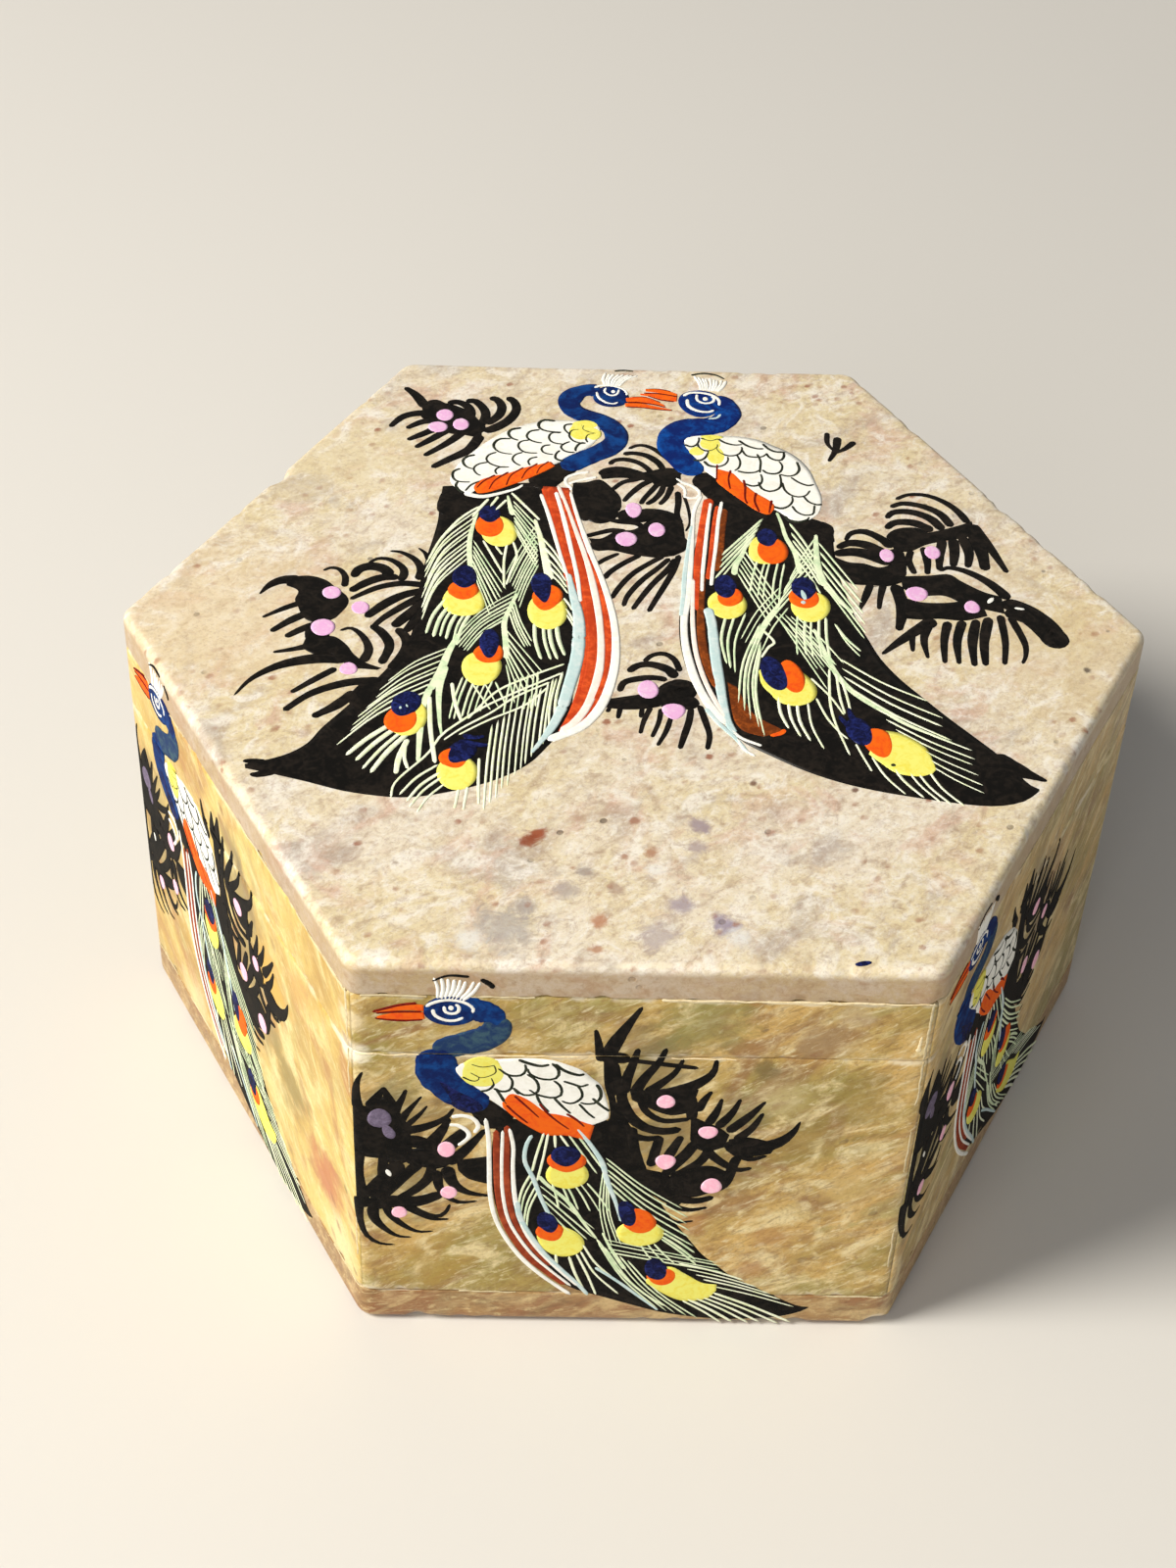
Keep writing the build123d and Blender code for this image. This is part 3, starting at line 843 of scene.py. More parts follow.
    art.strokes("white", 0.115,
        (0.36, 0.3), (-4.6, 26.1, -5.8, 25.8, -6.9, 25.1, -7.1, 24.2, -6.6, 23.3, -6.5, 22.8),
        (-3.8, 25.2, -5, 24.8, -6.2, 24.3, -6.7, 23.9))
    # tail feathers
    art.load = 1.1
    featherEyes(art, (-14, 15.4, 1.75, 2.4, 8), (-14.9, 16.4, 1.3, 1.85), (-15, 18.3, 1, 1.35),
        (-17.3, 4, 1.75, 2.5), (-17.4, 5.5, 1.5, 1.5), (-17.35, 7.7, 1.05, 1.75),
        (-8.9, 2.5, 1.75, 2.8), (-8.95, 4.5, 1.4, 1.95, -10), (-9.45, 6.1, 0.95, 2.25, 6),
        (-15.3, -6.7, 1.7, 2.45, -4), (-14.6, -4.3, 1.25, 1.5, -20), (-14.6, -2.9, 1, 2.1),
        (-22, -14.4, 1.65, 2.4, -14), (-22.7, -14.5, 1.5, 1.9, -10), (-22.4, -12.3, 1.15, 1.75, -18),
        (-17.2, -22, 1.7, 2.2), (-17.6, -20, 1.3, 1.3, 20), (-16.9, -19.1, 1.2, 1.6, -30))
    art.strokes("navy", 0.12, (0.9, 0.3), (-17.2, -17.6, -15.8, -18, -14.4, -18.1),
        (0.6, 0.3), (-16.8, -16.8, -15.6, -17, -14.8, -16.8))
    art.blobs("sky", 0.14, (-22.9, -12.9, 0.16, 0.2), (-22.3, -12.6, 0.12, 0.22, 20))
    art.strokes("green", 0.06, (0.3, 0.75), (-13.2, 21.6, -12.9, 19.6, -12.6, 18.2),
        (0.4, 0.7), (-16.3, 18.8, -16.9, 15, -17, 12.4, -16.8, 9.2),
        (0.4, 0.85), (-12, 5.2, -12.7, 2.6, -13.2, 0.4, -13, -2.6, -12.9, -5.2),
        (0.6, 1.05), (-17.6, -1.4, -18.5, -4, -19.2, -7, -20.2, -10.2),
        (0.9, 0.5), (-20.2, -9.8, -20.8, -13, -20.9, -16.4, -20.9, -20.6),
        (0.9, 0.3), (-18.8, -6.4, -19.3, -10, -19.1, -14.6, -18.8, -16.9), rows=22)
    art.strokes("palegreen", 0.06, (0.4, 1), (-10.3, 17.6, -9.7, 14.4, -9.3, 11.6, -8.7, 7.4), rows=22)
    art.fans("palegreen", 0.07, (-16.3, 19.3, -17, 10.6, -21.3, 10.2, -21.4, 0.2, 10, -0.08, 0.22))
    art.fans("green", 0.072, (-12.6, 21, -12.4, 15.6, -9.9, 16.8, -10, 8.8, 8, 0, 0.22),
        (-10.2, 16.8, -9.8, 9.6, -13.1, 8.8, -11.6, 2.6, 9, -0.02, 0.2),
        (-16.6, 14.2, -16.6, 8.6, -13.1, 6.4, -14.8, 1.2, 7, 0, 0.2),
        (-19.3, 4.2, -16.2, 1.8, -21.1, -1.3, -17.4, -3.2, 6, -0.05, 0.36),
        (-11.7, 6.1, -13.2, 0.6, -18.2, -2.2, -16.8, -4.4, 7, -0.07, 0.21),
        (-13.1, -0.2, -12.9, -6.4, -9, -7.2, -12.2, -11.8, 7, 0, 0.2),
        (-16.6, -9.2, -13.2, -8.6, -14.6, -13.2, -12.4, -11.8, 3, 0, 0.2),
        (-12.8, -8.6, -9.4, -6.8, -13.4, -13.4, -9.6, -12.4, 6, 0, 0.18),
        (-12.2, 4.4, -12.8, 1.6, -10.2, -2.6, -11.2, -3.6, 4, -0.03, 0.21),
        (-10.5, 0.4, -7.6, 0.4, -9.8, -5.4, -6.7, -4.6, 4, -0.04, 0.34),
        (-17.4, -8, -13.8, -8.6, -18.6, -14.8, -14.9, -13, 6, -0.02, 0.22))
    art.strokes("palegreen", 0.075,
        (0.22, 0.2), (-7.2, -5.8, -10.4, -7.7, -13.4, -9.8, -15.1, -12.1, -16.4, -14.3),
        (0.24, 0.2), (-7.3, -7.1, -11.3, -9.8, -14.8, -12.4, -17.2, -14.8, -18.9, -16.8, -20.1, -19.5,
        -22.8, -23.3, -23.2, -25.6),
        (0.22, 0.2), (-8.6, -8.6, -11.9, -10.9, -14.2, -13.3, -16.9, -15.6, -18.6, -17.4),
        (-8.8, -9.4, -11, -12.1, -14.4, -14.4, -17.2, -16.6), rows=30)
    art.fans("palegreen", 0.075, (-18.5, -3.2, -20.4, -10.6, -24.1, -8.4, -28.7, -18.8, 8, -0.06, 0.19),
        (-24.2, -15.2, -21.6, -16.6, -28.2, -19.4, -24.9, -22.8, 4, -0.03, 0.46),
        (-7.9, -7.6, -14.4, -15.5, -8.9, -17.2, -14.9, -27.2, 11, -0.01, 0.2),
        (-7.1, -6.6, -8.2, -8.4, -7.9, -13.4, -8.9, -17, 2, -0.03, 0.24),
        (-19.1, -20.4, -18.2, -24.1, -22.8, -24.8, -20.4, -28, 4, -0.06, 0.25),
        (-9.7, 15.2, -8.3, 7.2, -7.4, 10.4, -6.7, 4.4, 5, 0.03, 0.24),
        (-7.3, 5, -6.9, 1, -6.4, 3, -6.2, -1, 3, 0.03, 0.24))
    art.strokes("palegreen", 0.13, (0.3, 0.22), (-15.2, 20.9, -16, 19.4, -16.8, 17.7),
        (0.28, 0.2), (-14.2, 21.3, -15, 19.5), (-13.3, 20.8, -14.4, 19))
    art.strokes("palegreen", 0.075,
        (0.26, 0.24), (-16.1, 19.6, -17.2, 18.5, -18.3, 17.1, -19.4, 15.1, -20.2, 13.3, -21.1, 10.4),
        (0.28, 0.24), (-12.8, 22.1, -11.3, 19.8, -9.8, 17.5),
        (0.24, 0.2), (-15.6, 13.8, -14.5, 11, -13.5, 8.4), (-14.3, 12.9, -13.6, 11.5),
        (0.26, 0.22), (-13.1, 13.7, -13.4, 10.3, -13.3, 6),
        (-12.5, 13.7, -12.1, 11.3, -12.7, 8.5, -13.1, 6.5),
        (0.5, 0.4), (-22, -17.4, -22.7, -20, -22.9, -22.3),
        (0.34, 0.3), (-22.2, -18, -22.2, -20, -21.8, -21.6), (-18.1, -9, -17.7, -12, -17, -14.7),
        (0.4, 0.4), (-20.2, -11, -19.9, -16, -19.3, -20.7), (0.24, 0.2), (-17, -24.1, -17.3, -26.8),
        (-16.2, -23.9, -16.5, -27), (-15.2, -19.9, -15.2, -23, -15.1, -26.2))


def paintRightBird(art):
    art.fill("black", 0.045, (9.4, 22.6, 7.4, 18.6, 6.4, 14, 5.5, 9, 4.6, 4.5, 4.2, 0, 4.4, -4, 5.2, -8,
        6.6, -11, 8.2, -14, 9.6, -16.6, 12.4, -18.8, 15.5, -20.8, 19, -22.4, 23, -23.6, 28, -24.6,
        32.5, -25.1, 35.5, -24.4, 37.2, -22.9), (13.2, 20.6, 18, 19, 20.5, 17.3, 20.7, 13, 20.9, 9, 21.5, 5,
        22.2, 1.5, 23, -1, 24, -4, 25.6, -7, 27.6, -9.8, 29.8, -12.8, 32, -15.5, 34, -18, 35.4, -20.4,
        36.4, -22, 37.2, -22.6), rows=66, across=17)
    art.strokes("black", 0.05, (2.7, 3.4), (7.1, 26.2, 8.6, 24.2, 10.4, 21.6, 11.8, 18.8),
        (2.8, 0.3), (33, -18.4, 35.6, -20.1, 38.1, -21.5), (2.2, 2), (19.3, 18.2, 19.6, 16.4, 19.5, 14),
        rows=26)
    art.strokes("cobalt", 0.085, (2.6, 2.7), (8.9, 40.6, 10.2, 39.5, 10.8, 37.6, 9.9, 35.9, 8.2, 35.05,
        6.2, 34.6, 4.7, 33.4, 4.4, 31.6, 5, 29.8, 5.9, 28, 7.1, 26.1), rows=56, across=9)
    art.blobs("cobalt", 0.09, (7.8, 39.5, 2.5, 2.6))
    art.fill("orange", 0.09, (5.3, 41.3, 4.4, 41.8, 3, 42.15, 1.8, 42.1),
        (5.3, 40.75, 4.2, 41.1, 3, 41.5, 1.8, 41.7))
    art.fill("orange", 0.092, (5.3, 40.7, 4.2, 41, 3, 41.2, 1.2, 41.2),
        (5.2, 39.85, 4.2, 39.95, 3, 40.4, 1.2, 41))
    art.strokes("maroon", 0.1, (0.2, 0.14), (5.3, 40.75, 4.2, 41.05, 3, 41.3, 1.6, 41.35),
        (0.16, 0.1), (4.9, 39.8, 3.4, 40.1, 2, 40.8), (4.6, 41.75, 3.2, 42.15, 1.8, 42.1))
    headMarks(art, (8.4, 40.45, 0.34, 0.36),
        (0.34, 0.3), (6, 40.9, 6.6, 41.5, 7.8, 41.65, 9.2, 41.2, 9.9, 40.3, 9.9, 39.2),
        (0.4, 0.3), (6.4, 40.3, 6.5, 39, 7.4, 38.1, 8.6, 37.9, 9.3, 38.3),
        (0.3, 0.28), (7.5, 41.3, 7.5, 40.2, 8.2, 39.6, 9.1, 39.8, 9.4, 40.5, 9.1, 41))
    art.strokes("sky", 0.1, (0.3, 0.2), (10, 37.5, 9.5, 36.8, 8.6, 36.6))
    art.fans("white", 0.1, (7.9, 42.2, 9.9, 42, 7.1, 44.9, 11, 44, 9, -0.06, 0.34))
    art.strokes("line", 0.11, (0.22, 0.16), (7, 45.1, 8.4, 45.5, 9.8, 45.2, 10.7, 44.5))
    art.fill("white", 0.075, (5.8, 32.4, 6.4, 33.2, 8, 33.6, 10, 33.4, 12, 33.3, 14, 32.7, 15.5, 31.7,
        17, 30.6, 18.3, 29, 19.2, 27, 19.6, 25, 20, 23, 20, 21.4, 19.6, 19.8, 19, 18.9), (5.8, 31.9,
        5.9, 30.5, 6.8, 28.6, 7.8, 26.9, 8.8, 25.6, 9.6, 24.9, 10.8, 24, 12.2, 22.8, 13.6, 21.4, 14.8, 20.3,
        15.8, 19.2, 16.6, 18.3, 17.6, 18.05, 18.6, 18.5), across=15)
    art.blobs("yellow", 0.09, (8.6, 32, 1.35, 1.3), (9.1, 29.7, 1.15, 1.6), (7.1, 30.4, 0.9, 0.8),
        (8.8, 33.1, 1.2, 0.4))
    art.fill("orange", 0.09, (9.3, 27.2, 10.2, 26.9, 11, 26.5, 11.9, 24.8, 12.9, 23.3, 13.8, 22.4,
        14.6, 21.6, 15, 20.6, 14.5, 19.4),
        (9.1, 26.6, 9, 25, 9.8, 23.7, 10.8, 22.4, 11.8, 21.2, 12.6, 20.2, 13.4, 19.5, 14, 19.2, 14.3, 19.2))
    art.strokes("maroon", 0.11, (0.26, 0.2), (10.6, 27, 10.3, 25.4, 10.4, 23.6),
        (0.28, 0.2), (11.9, 25.3, 12, 24, 11.9, 22, 12.1, 21), (13.1, 23, 12.9, 21.4, 13.3, 19.6),
        (14.7, 21.7, 14.5, 20.6, 14.3, 19.4), (0.2, 0.14), (9.2, 28, 9.1, 26.6, 9, 25.2))
    art.load = 1.3
    art.strokes("line", 0.1, (0.26, 0.22), (5.8, 31.6, 6.5, 31.2, 7.1, 31.6, 7.4, 32.4, 7.4, 33),
        (7.6, 32.9, 8.6, 32.4, 9.5, 32.8), (9.5, 32.8, 10.2, 32.1, 11.2, 31.7, 12.1, 31.8),
        (7.2, 31.9, 7.4, 31, 8, 30.5, 8.7, 30.6, 9.3, 31.2, 9.4, 31.8),
        (11.7, 32.6, 12.6, 31.6, 13.6, 31.1, 14.4, 31.1), (14.3, 32, 14.9, 31.1, 15.6, 30.6, 16.7, 30.5),
        (9.2, 31.2, 9.5, 30.3, 10.3, 29.7, 11.1, 29.7, 11.7, 30.1, 12, 30.8, 12, 31.4),
        (6.6, 28.7, 7.4, 28.7, 8, 29.3, 8.4, 30.4),
        (12, 30.8, 12.4, 29.8, 13.2, 29.5, 14.1, 29.6, 14.6, 30.1),
        (0.27, 0.22), (14.6, 30.3, 14.9, 29.5, 15.6, 29, 16.2, 29.1, 16.5, 29.8, 16.5, 30.4),
        (7.8, 28.6, 8.3, 27.8, 9.2, 27.6, 10, 28, 10.4, 28.8, 10.4, 29.5),
        (0.26, 0.22), (11.4, 29.9, 11.7, 28.6, 11.5, 27.5, 11, 26.9),
        (13.6, 30.1, 13.9, 28.8, 13.8, 27.5, 13.7, 26.6),
        (0.27, 0.22), (11.3, 26.9, 12.2, 26.6, 13.2, 26.7, 13.8, 27.2),
        (14, 27.2, 14.5, 26.6, 15.4, 26.5, 16, 27, 16.2, 28, 15.9, 28.8),
        (0.26, 0.22), (15.8, 26.4, 16.8, 26.1, 17.6, 26.5, 18, 27.5, 17.8, 28.8),
        (12, 24.6, 12.8, 24.2, 13.6, 24.5, 13.9, 25.4, 13.8, 26.4),
        (17, 25.9, 17.8, 25, 18.7, 24.5, 19.4, 24.7),
        (13.5, 25, 13.7, 23.9, 14.4, 23.3, 15.2, 23.5, 15.8, 24.2, 15.9, 25.6, 15.8, 26.4),
        (16, 25, 16.2, 23.6, 16.8, 22.7, 17.6, 22.4, 18.4, 22.7, 18.9, 23.6),
        (18.1, 22.6, 18.6, 21.6, 19.4, 21.1, 20, 21.2),
        (14.8, 20.6, 15.6, 20.3, 16.4, 20.7, 16.9, 21.6, 16.9, 22.5),
        (16.8, 20.8, 17.2, 19.8, 18, 19.2, 18.9, 19.4, 19.1, 20.3, 19.2, 21),
        (15.9, 19, 16.3, 18.3, 17.3, 18, 18.2, 18.4, 18.5, 18.9), rows=16, across=3)
    art.load = 1.0
    art.strokes("red", 0.08, (1, 0.6), (8.1, 21.8, 7.6, 19, 6.9, 14, 6.4, 10, 6.2, 6, 6.1, 3),
        (0.45, 0.5), (8.9, 20.5, 8.4, 17, 7.9, 12, 7.4, 8), rows=30)
    art.strokes("brown", 0.08, (0.8, 0.8), (9.6, 20, 9.1, 16, 8.7, 12, 8.3, 9.4),
        (0.7, 0.8), (6.9, 9, 6.6, 5, 6.4, 1, 6.5, -3, 7, -6.5, 7.7, -9), rows=30)
    art.fill("brown", 0.055, (8.6, -8, 8.7, -11, 9, -13.6, 9.9, -15.3, 11.6, -16),
        (9.6, -8.8, 10.4, -11, 11.4, -13, 13.9, -14.9, 13, -15.6))
    art.strokes("orange", 0.062, (0.7, 0.6), (12.4, -15.8, 13.4, -15.4, 13.9, -14.9))
    art.strokes("white", 0.1, (0.34, 0.9), (7.3, 22.4, 6.4, 19.5, 6.1, 16, 5.9, 13, 5.6, 9, 5.3, 5, 4.8, 2,
        4.7, -1, 4.9, -4, 5.6, -8, 6.7, -11.3, 8.2, -14.2),
        (0.36, 0.4), (8.2, 21, 7.7, 17, 7.3, 13, 6.9, 9, 6.7, 6),
        (9.4, 21.3, 8.9, 18, 8.5, 14, 8, 10, 7.7, 7), rows=40)
    art.strokes("blush", 0.1, (0.4, 0.5), (5.9, 8, 5.7, 4, 5.6, 0, 5.8, -4, 6.5, -8, 7.4, -11, 8.4, -13.6),
        rows=30)
    art.strokes("sky", 0.105, (0.4, 0.5), (6.1, 17, 5.7, 14, 5.1, 9, 4.8, 5, 4.5, 2),
        (1.1, 0.7), (7.2, 3.4, 7.5, 1, 7.6, -2, 7.7, -5, 7.9, -8, 8.1, -11, 8.5, -14, 9, -15.6),
        (0.5, 0.3), (6.4, -12, 7.6, -14.2, 9, -16.2, 10.2, -18.4), rows=34)
    art.strokes("white", 0.11, (0.3, 0.3), (8.8, -15.2, 9.7, -16.3, 11.5, -17.3),
        (0.27, 0.22), (9.2, -16.4, 9.8, -17.8, 10.8, -18.8), (0.32, 0.28), (4.7, 25.3, 5.4, 24.6, 6.4, 24,
        7.1, 23, 6.9, 22, 6.1, 21.8, 5.5, 22, 5.6, 22.9, 5.4, 23.8, 4.8, 24.4))
    featherEyes(art, (13.3, 13, 1.3, 2.15, 12), (14.2, 13, 1.5, 2.1), (13.85, 15.2, 1, 1.4),
        (9.2, 4, 1.8, 2.15), (9.5, 5.2, 1.3, 1.45, -16), (9.15, 6.9, 1, 1.75),
        (17.6, 3.9, 1.85, 2.3, -8), (17.1, 5.3, 1.45, 1.6), (17.1, 6.8, 1.2, 1.7))
    art.strokes("yellow", 0.085, (0.6, 1.1), (12.1, -6, 12.5, -8.2, 13.7, -10))
    featherEyes(art, (14.9, -8.5, 2, 2.7, 14), (15, -7, 1.15, 2.3, 8), (13.3, -6.6, 1.1, 2.4, 12))
    art.fill("yellow", 0.085, (22.9, -14.7, 25, -15.2, 27, -16.9, 27.6, -18.8, 27.8, -20.2),
        (21.6, -18.2, 22.6, -19.4, 24, -20.8, 26, -21.2, 27.4, -20.8))
    art.blobs("orange", 0.105, (22.7, -16.6, 1.35, 2.1, 10))
    art.blobs("navy", 0.125, (21, -15, 1.3, 2, 12))
    art.blobs("line", 0.1, (23.8, -19.7, 0.26, 0.2))
    art.strokes("navy", 0.12, (0.9, 0.3), (20.8, -14.2, 20.4, -12.8, 20.2, -11.6),
        (0.6, 0.3), (20.2, -14.6, 19.6, -13.6, 19.2, -12.8), (0.5, 0.2), (16.6, 7.6, 16.5, 8.4),
        (0.6, 0.2), (17.6, 7.6, 17.9, 8.3))
    art.blobs("sky", 0.14, (17, 5.7, 0.3, 0.8, 10), (16.9, 4.5, 0.26, 0.26))
    art.strokes("green", 0.06, (0.4, 0.8), (15.1, 19.6, 15.5, 17.6, 15.8, 15.4, 16.6, 12.6, 16.9, 9.2),
        (0.35, 0.9), (11.9, 15.4, 11.3, 12.8, 10.4, 10.6, 10.1, 8.8),
        (0.5, 1), (19, 15.9, 18.8, 13, 18.8, 10, 19.3, 7.2), (0.8, 0.35), (19.3, 7.4, 20.6, 5, 21.8, 3),
        (0.35, 0.7), (14.5, 4.2, 13, 1.4, 12, -1.2),
        (0.5, 0.85), (17.7, 0.4, 18.8, -4.4, 19.8, -7.4, 21.2, -9.6, 23.4, -11.8),
        (0.7, 0.25), (23.2, -11.5, 25.6, -13.8, 29.8, -16.4), rows=22)
    art.fans("green", 0.072, (13.8, 19, 12.2, 14.4, 8, 11.2, 8.5, 7.4, 5, 0, 0.3),
        (12.4, 11.8, 15.7, 10.8, 11.2, 6.2, 14.8, 4.2, 5, -0.02, 0.28),
        (11.4, 13.4, 10.4, 8.8, 14.8, 4.6, 13.2, 0.6, 6, 0, 0.22),
        (16.3, 18.4, 16.7, 11.2, 18.5, 12.6, 18.9, 5.2, 5, 0.02, 0.3),
        (18.9, 15.8, 18.4, 8.4, 15.8, 8.4, 13.4, 1.6, 6, -0.02, 0.22),
        (19.1, 15.2, 19.4, 6.2, 22.8, 7, 22.8, -2.2, 6, 0, 0.25),
        (15.9, 2.8, 19.4, 2.2, 15.4, -3.4, 19.4, -4.2, 5, -0.02, 0.34),
        (14.6, 7.4, 15.4, 3.4, 9.8, -1.6, 12.6, -3, 5, -0.04, 0.2),
        (13.4, 3, 16.4, 2, 17.6, -6.4, 20.4, -4.6, 5, 0.03, 0.2),
        (8.4, 2.1, 11.4, 2.8, 8.5, -5.2, 9.6, -7, 3, -0.06, 0.32),
        (12.4, 1.6, 12.2, -3.2, 9.3, -10, 12.2, -16.2, 5, -0.05, 0.28),
        (13.8, 2.6, 17.2, -0.8, 18.2, -9.2, 19.8, -5, 4, 0, 0.21),
        (19.7, 1.6, 20.2, 0.4, 22.4, -2.6, 21.8, -4.2, 2, -0.04, 0.26))
    art.fans("palegreen", 0.075, (19.9, -3.2, 20.3, -9.2, 28.2, -9.4, 29.6, -17, 4, -0.04, 0.24),
        (22.4, -10.8, 27.7, -20.4, 31.4, -16.8, 32, -24, 6, -0.03, 0.22),
        (21.4, -18.4, 27.8, -20.4, 24.2, -23.8, 30.7, -25.2, 5, -0.06, 0.27),
        (12.9, -9.9, 16.8, -11, 13.6, -14.4, 17.9, -17.8, 4, -0.06, 0.33))
    art.strokes("palegreen", 0.075,
        (0.25, 0.22), (18.8, -5.6, 18.6, -8.4, 18.5, -11.2, 18.8, -14, 19.8, -18.4),
        (0.25, 0.2), (17.2, -10.2, 18, -13, 19, -15, 19.8, -16.1),
        (0.25, 0.22), (19.4, -6.4, 19.5, -10, 19.8, -12.4), (19.8, -6.8, 20.2, -10, 20.4, -12.8),
        (0.24, 0.2), (16.9, -7.2, 18.6, -10, 19.7, -12.6),
        (0.28, 0.24), (12.6, 0, 13.6, -1.8, 13, -2.6, 12.2, -4.2),
        (0.22, 0.2), (20.5, -16.8, 21.1, -18.8, 21.7, -20.6))


def paintTopLeaves(art):
    art.load = 1.3
    # the spray beside the left bird's wing
    art.strokes("black", 0.045, (0.5, 1), (-24.9, 41.4, -23.6, 39.9, -22.4, 37.6),
        (0.6, 0.6), (-22.3, 38.4, -21.4, 38.8, -20.5, 38, -20.2, 37),
        (0.7, 0.8), (-20.1, 38.5, -19, 38.8, -17.8, 37.9, -17.5, 36.4, -18, 35),
        (-18.1, 39, -17, 39, -16, 37.4, -15.9, 35.8, -16.6, 34.2),
        (-15.5, 39.8, -14.6, 39.4, -14.1, 38, -14.5, 36.3, -15.8, 34.7),
        (0.7, 0.9), (-13.6, 40, -12.8, 39.2, -12.5, 37.6, -13.3, 35.6, -14.8, 34, -16, 33.3),
        (1.8, 2.2), (-22.8, 37, -20.5, 35.6, -18, 34.6, -16.2, 33),
        (2, 1.8), (-21.6, 35.4, -19.6, 34.2, -17.4, 33.2),
        (0.9, 0.5), (-21.8, 36.6, -23.6, 36.4, -25, 35.6, -26.2, 33.7),
        (0.8, 0.5), (-21, 35.3, -22.8, 34.8, -24.4, 33.5), (-21, 33.8, -22.6, 32.5, -24.2, 31.3),
        (-19.8, 33.6, -21.4, 31.8, -23.3, 29.9), (-18, 33.4, -19.8, 31, -22.3, 28.4),
        (1, 0.6), (-16.3, 32.6, -17.5, 29.8, -19.6, 27.9, -21.4, 26.3))
    art.fill("black", 0.042, (-23, 38.2, -20.5, 38.6, -17.8, 37.2, -16.2, 34.8),
        (-22.6, 36, -20.5, 33.8, -18.3, 32.6, -16.2, 32))
    # the spray beside its back
    art.load = 1.1
    art.fill("black", 0.042,
        (-35.4, 6.9, -33.2, 7.3, -31.4, 6.7, -30.2, 5.4, -29, 4, -28.9, 2.6, -29.9, 0.6),
        (-35.2, 5.6, -34, 4.8, -34.2, 3.4, -33.8, 2.2, -33.3, 0.8, -32.6, 0, -31.4, -0.6),
        (-32.4, -1.4, -31.2, -2.2, -29.8, -2.4, -28.6, -3.6, -27.8, -5, -26.6, -6.2, -25, -7),
        (-33, -4.2, -31.6, -5.2, -30, -5, -29.2, -5.8, -28, -7, -26.6, -7.2, -25.4, -7.3),
        (-26.6, -8.8, -25.2, -8.8, -24, -8.8), (-28.2, -11.6, -27.2, -13.6, -26.2, -15.2))
    art.strokes("black", 0.045, (0.2, 1.6), (-37.8, 4.1, -36.9, 5.6, -35.6, 6.5, -33.8, 6.5),
        (0.3, 0.7), (-31.7, 8.2, -30.9, 8.7, -30, 8.4, -29.4, 7.2, -29.4, 5.6),
        (0.8, 1.2), (-28.6, 7.2, -28.1, 8.5, -26.9, 9.1, -25.6, 8.7, -24.8, 7.6),
        (0.3, 0.9), (-27.2, 9.6, -26.2, 10.4, -24.9, 10.2, -23.7, 9, -23.5, 7.8, -23.9, 6.8),
        (-25.1, 11.7, -23.9, 11.5, -22.5, 10.4, -21.8, 8.8, -22, 7),
        (0.2, 0.6), (-22.2, 12.3, -21.5, 11.5, -21, 10.2),
        (0.9, 0.8), (-24, 7.4, -25.6, 7.3, -27.2, 6.4, -28.8, 4.9),
        (0.8, 0.5), (-21.3, 6.2, -23.6, 6.4, -25.9, 5.7, -27.6, 4.5, -28.7, 3.6),
        (0.9, 0.9), (-21.2, 5.4, -23.4, 4.5, -25.2, 3, -27, 0.8),
        (0.9, 0.5), (-21.2, 4.7, -23.3, 2.8, -25.2, 0.8, -26.3, -0.9),
        (1, 0.9), (-21.2, 3.7, -22.8, 1.4, -24.2, -0.6), (0.9, 0.7), (-21, 2.7, -22.2, 0.2, -23, -1.4),
        (0.8, 0.3), (-33.2, 3.1, -35.2, 1.9, -37.2, 0.4), (0.9, 0.6), (-32.6, 1.4, -34.4, 0, -36.2, -1.8),
        (-31.2, -0.2, -33, -1.2, -34.7, -2.6), (0.9, 0.3), (-31.6, -3.6, -33.6, -4.4, -35.7, -5),
        (2, 2), (-31.2, 0, -31.6, -2, -31.2, -3.8),
        (0.3, 0.9), (-29.4, -1.4, -28.3, -1, -27.1, -2.2, -26.4, -4.2, -26.9, -6.2),
        (0.8, 0.9), (-26.4, -0.4, -25.2, -1.6, -24.4, -3.6, -25.1, -6.4),
        (0.9, 0.9), (-23.8, -0.8, -22.8, -2.4, -22.8, -4.4, -24.2, -7.2),
        (1.2, 1.2), (-21.4, 0, -21.8, -3, -22.8, -6.2),
        (0.2, 1.5), (-38.9, -11.6, -37.4, -9, -34.8, -6.9, -31.4, -5.8, -28.4, -5.8),
        (0.5, 0.8), (-33.5, -11, -31.2, -8.8, -29.4, -7.2),
        (0.6, 1), (-34, -13.7, -31.6, -11.1, -28.4, -9.4, -25, -8.8),
        (0.7, 1.1), (-31.2, -14.5, -29, -12.7, -27.4, -10.6))
    art.load = 1.3
